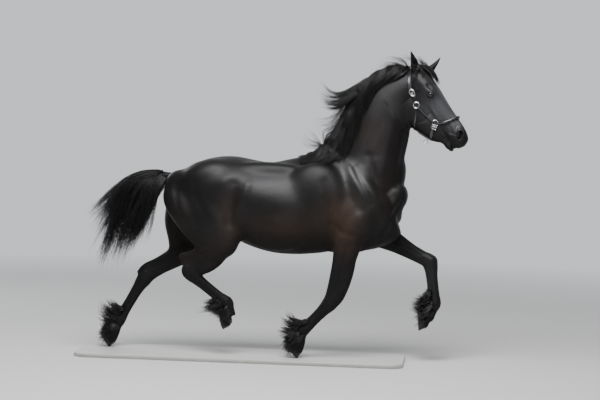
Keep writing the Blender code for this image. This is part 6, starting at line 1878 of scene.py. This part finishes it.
def leather_look():
    """Black strap leather: a fine grain of cells, a little paler and rougher in worn patches."""
    look = Look("leather", Specular_IOR_Level=0.60, Coat_Weight=0.5, Coat_Roughness=0.12)
    values = {"Vector": look.where(), "Scale": 850.0}
    cells = look.add("ShaderNodeTexVoronoi", {"feature": "F1"}, values, "Distance")
    worn = look.noise(45.0, 3.0)
    colour = look.mixed(worn, (0.0085, 0.0085, 0.0125), (0.0190, 0.0190, 0.0250))
    bump = look.bumped(cells + 0.5 * worn, 0.0006, 0.45)
    return look.set(Base_Color=colour, Roughness=0.16 + 0.16 * worn, Normal=bump)


def metal_look():
    """Polished steel, a little hazed and scratched."""
    look = Look("metal", Base_Color=(0.80, 0.80, 0.79, 1.0), Metallic=1.0)
    scratches = look.noise(1.0, 3.0, look.stretched((90.0, 900.0, 900.0), 20.0))
    return look.set(Roughness=0.10 + 0.14 * look.noise(70.0, 3.0) + 0.06 * scratches)


def base_look():
    """Pale satin lacquer."""
    look = Look("base", Specular_IOR_Level=0.40)
    fine = look.noise(24.0, 3.0)
    colour = look.mixed(fine, (0.47, 0.46, 0.44), (0.53, 0.52, 0.50))
    bump = look.bumped(look.noise(420.0, 2.0), 0.0003, 0.25)
    return look.set(Base_Color=colour, Roughness=0.42 + 0.10 * fine, Normal=bump)


def dressed_in(piece, material):
    """Gives a piece its only material and its slot, and lets it ride the body."""
    piece.data.materials.clear()
    piece.data.materials.append(material)
    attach(piece, "root")
    return piece


# Where the coat is browner: middle on the right side (mirrored to the left), radii, how much
WARM_SPOTS = [
    ((0.715, -0.22, 1.040), (0.130, 0.16, 0.120), 1.0),
    ((0.740, -0.17, 0.860), (0.100, 0.12, 0.150), 0.7),
    ((0.380, -0.25, 0.920), (0.330, 0.22, 0.110), 0.45),
    ((0.930, -0.08, 1.580), (0.130, 0.12, 0.190), 0.25),
    ((-0.070, -0.20, 1.000), (0.070, 0.14, 0.180), 0.55),
    ((-0.420, -0.14, 0.860), (0.110, 0.14, 0.200), 0.40),
    ((-0.150, -0.17, 0.760), (0.150, 0.10, 0.120), 0.35),
    ((1.000, -0.14, 1.180), (0.090, 0.12, 0.180), 0.22),
]
# Where the coat shines: the same. On the head these spots also paint a pale grey highlight into the coat's
# colour
SHINE_SPOTS = [
    ((0.220, -0.25, 1.180), (0.400, 0.30, 0.120), 0.30),
    ((0.800, -0.20, 1.200), (0.150, 0.20, 0.170), 0.90),
    ((0.960, -0.12, 1.780), (0.150, 0.20, 0.160), 0.35),
    ((1.000, -0.10, 1.420), (0.120, 0.20, 0.160), 0.05),
    ((-0.260, -0.22, 1.260), (0.170, 0.20, 0.120), 0.32),
    ((-0.100, -0.22, 1.050), (0.060, 0.20, 0.160), 0.35),
    ((-0.170, -0.20, 0.870), (0.110, 0.20, 0.100), 0.30),
    ((1.385, -0.15, 1.790), (0.120, 0.30, 0.120), 1.00),
    ((1.500, -0.15, 1.690), (0.060, 0.30, 0.060), 1.00),
    ((0.300, -0.25, 1.080), (0.300, 0.20, 0.120), 0.22),
    ((1.300, -0.15, 2.000), (0.060, 0.30, 0.050), 0.25),
    ((1.340, 0.14, 0.600), (0.120, 0.20, 0.200), 0.60),
]


def spotted(points, spots):
    """The sum over the spots of how much * exp(-distance squared) at each point, held between 0 and 1."""
    folded = points * (1, 0, 1) - np.abs(points) * (0, 1, 0)
    total = np.zeros(len(points))
    for middle, radii, much in spots:
        middle = np.array(middle) * (1, 1 if middle[1] < 0 else -1, 1)
        total += much * np.exp(-(((folded - middle) / radii) ** 2).sum(1))
    return clipped(total)


def coat_marks(thing):
    """Marks the skin with where it is brown, shining, bare or dull, and with its head and legs."""
    points = coordinates(thing) - (0, 0, GROUND)
    s, _, t = in_head(points).T
    z = points[:, 2]
    on_head = clipped((s + 0.02) / 0.06) * clipped((t + 0.32) / 0.04) * (z > 1.4)
    muzzle = clipped((s - 0.560 + 0.25 * np.abs(t + 0.05)) / 0.035) * on_head
    lids = [clipped(1.7 - np.linalg.norm(points - eye_centre(sign), axis=1) / 0.034) for sign in SIDES]
    marked(
        thing,
        warm=spotted(points, WARM_SPOTS),
        shine=spotted(points, SHINE_SPOTS),
        head=on_head,
        leg=clipped((0.80 - z) / 0.15),
        bare=np.maximum(muzzle, np.maximum(*lids) * 0.9),
        dull=clipped((0.98 - z) / 0.12),
    )


# Studio and camera


# The sky on the viewer's side of the horse and behind it, and between which shares of the way back it turns
SKY_BEFORE, SKY_BEHIND = (0.13, 0.135, 0.145), (0.80, 0.82, 0.84)
SKY_TURN = (0.0, 0.70)
# The floor: half its width, its colour, and from where to where it fades into the sky
FLOOR_HALF = 400.0
FLOOR_COLOUR = (0.60, 0.595, 0.58)
FLOOR_FADE = (2.5, 11.0)
BLACK = (0.0, 0.0, 0.0)
# Soft square lights: place, the point each faces, size, power, colour
LIGHTS = {
    "overhead": ((0.2, -3.1, 5.7), (0.3, 0.0, 1.2), 3.4, 640.0, (0.97, 0.98, 1.0)),
    "front": ((2.6, -6.5, 4.6), (0.5, 0.0, 1.2), 3.0, 90.0, (1.0, 0.98, 0.96)),
    "rim": ((-4.5, 4.0, 3.6), (0.0, 0.0, 1.3), 2.5, 110.0, (0.93, 0.96, 1.0)),
}


def floor_look():
    """A pale floor that fades with distance into the sky's own colour on the same side."""
    look = Look("floor", Roughness=0.75, Specular_IOR_Level=0.0, Emission_Strength=1.0)
    where = look.where()
    x, y = look.part(where, 0), look.part(where, 1)
    far = (x * x + y * y) ** 0.5
    fade = far.above(*FLOOR_FADE)
    sky = look.mixed((y / far).above(*SKY_TURN), SKY_BEFORE, SKY_BEHIND)
    colour = look.mixed(fade, FLOOR_COLOUR, BLACK)
    return look.set(Base_Color=colour, Emission_Color=look.mixed(fade, BLACK, sky))


def studio():
    """A pale floor, a sky that is grey on the viewer's side and pale behind the horse, and three lights."""
    corners = [(x * FLOOR_HALF, y * FLOOR_HALF, -GROUND) for x, y in ((-1, -1), (1, -1), (1, 1), (-1, 1))]
    floor = meshed("studio_floor", corners, [[0, 1, 2, 3]], False)
    floor.data.materials.append(floor_look())
    world = bpy.data.worlds.new("studio")
    sky = Nodes(world)
    back = sky.part(sky.where("Generated"), 1).above(*SKY_TURN)
    seen = sky.mixed(back, SKY_BEFORE, SKY_BEHIND)
    sky.tree.links.new(seen.socket, sky.tree.nodes["Background"].inputs["Color"])
    bpy.context.scene.world = world
    for name, (place, aim, size, power, colour) in LIGHTS.items():
        lamp = bpy.data.lights.new(name, "AREA")
        lamp.size, lamp.energy, lamp.color = size, power, colour
        held = bpy.data.objects.new(name, lamp)
        held.location = place
        held.rotation_euler = (Vector(aim) - Vector(place)).to_track_quat("-Z", "Y").to_euler()
        bpy.context.scene.collection.objects.link(held)


def camera():
    """The photo's own view: DISTANCE from AIM, turned by AZIMUTH, at EYE_LEVEL and held with a ROLL."""
    azimuth, roll = math.radians(AZIMUTH), math.radians(ROLL)
    aim = np.array(AIM)
    place = np.array([AIM[0] + DISTANCE * math.sin(azimuth), -DISTANCE * math.cos(azimuth), EYE_LEVEL])
    ahead = unit(aim - place)
    right = unit(np.cross(ahead, (0, 0, 1)))
    up = np.cross(right, ahead)
    level = math.cos(roll) * right + math.sin(roll) * up
    upright = math.cos(roll) * up - math.sin(roll) * right
    lens = bpy.data.cameras.new("camera")
    lens.lens, lens.sensor_width = LENS, SENSOR_WIDTH
    held = bpy.data.objects.new("camera", lens)
    frame_ = np.eye(4)
    frame_[:3] = np.column_stack([level, upright, -ahead, place])
    held.matrix_world = Matrix(frame_.tolist())
    bpy.context.scene.collection.objects.link(held)
    bpy.context.scene.camera = held


# The model


def hair_pieces(surface, rng):
    """Every piece of long hair: its name, strands, and the width and thickness of a strand."""
    pieces = []
    for name, parts, width, thick in (
        ("mane", mane_hair(surface, rng), 0.0024, 0.0014),
        ("mane_ends", [curved_hair(MANE_STREAM, surface, rng, 8, 0.011, 24, 0.014),
                       curved_hair(MANE_WISPS, surface, rng, 7, 0.014, 6, 0.010)], 0.0014, 0.0010),
        ("poll_wisps", [curved_hair(POLL_WISPS, surface, rng, 12, 0.014, 5, 0.010)], 0.0009, 0.0007),
        ("forelock", [curved_hair(at_head(FORELOCK), surface, rng, 9, 0.005, 20, 0.012, 0.004,
                                  (0.7, 0.0, 0.7))], 0.0018, 0.0010),
        ("tail", [tail_hair(rng)], 0.0034, 0.0018),
    ):
        pieces += in_pieces(name, parts, width, thick, rng)
    for name in JOINTS:
        locks = [feather_hair(name, surface, rng), skirt_hair(name, surface, rng)]
        pieces += in_pieces("feather_" + name, locks, 0.0024, 0.0013, rng)
    return pieces


def build():
    """Makes every piece, says which nodes each one replaces, and lights and frames the whole."""
    rng = np.random.default_rng(SEED)
    skin = dressed(skin_piece())
    coat_marks(skin)
    surface = Skin(skin)
    coat, horn, leather, metal = coat_look(), horn_look(), leather_look(), metal_look()
    dressed_in(skin, coat)
    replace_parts(skin, "torso", "neck", "head", "ear_left", "ear_right")
    for name in JOINTS:
        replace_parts(skin, "leg_" + name, "shank_" + name)
        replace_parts(dressed_in(hoof_piece(name), horn), "hoof_" + name)
    eye = eye_look()
    for sign, side in SIDES.items():
        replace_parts(dressed_in(eye_piece(sign, side), eye), "eye_" + side)
    for node, piece in halter_pieces(surface).items():
        hard = "ring" in node or "buckle" in node
        dressed_in(piece, metal if hard else leather)
        if node != "stitches":
            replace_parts(piece, node)
    long_hair = hair_look("long_hair", (0.0030, 0.0029, 0.0031), (0.0120, 0.0108, 0.0106), 0.34)
    for piece in hair_pieces(surface, rng):
        dressed_in(piece, long_hair)
        if piece.name.startswith("tail"):
            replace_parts(piece, "tail")
    short = hair_look("short_hair", (0.0040, 0.0037, 0.0038), (0.0110, 0.0094, 0.0088), 0.40)
    for piece in in_pieces("coat_tufts", [short_hair(skin, rng)], 0.0012, 0.0007, rng):
        dressed_in(piece, short)
    for piece in in_pieces("lashes", [whiskers(surface, rng)], 0.0005, 0.0005, rng):
        dressed_in(piece, short)
    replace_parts(dressed_in(plinth(), base_look()), "stand_base")
    studio()
    camera()


build()
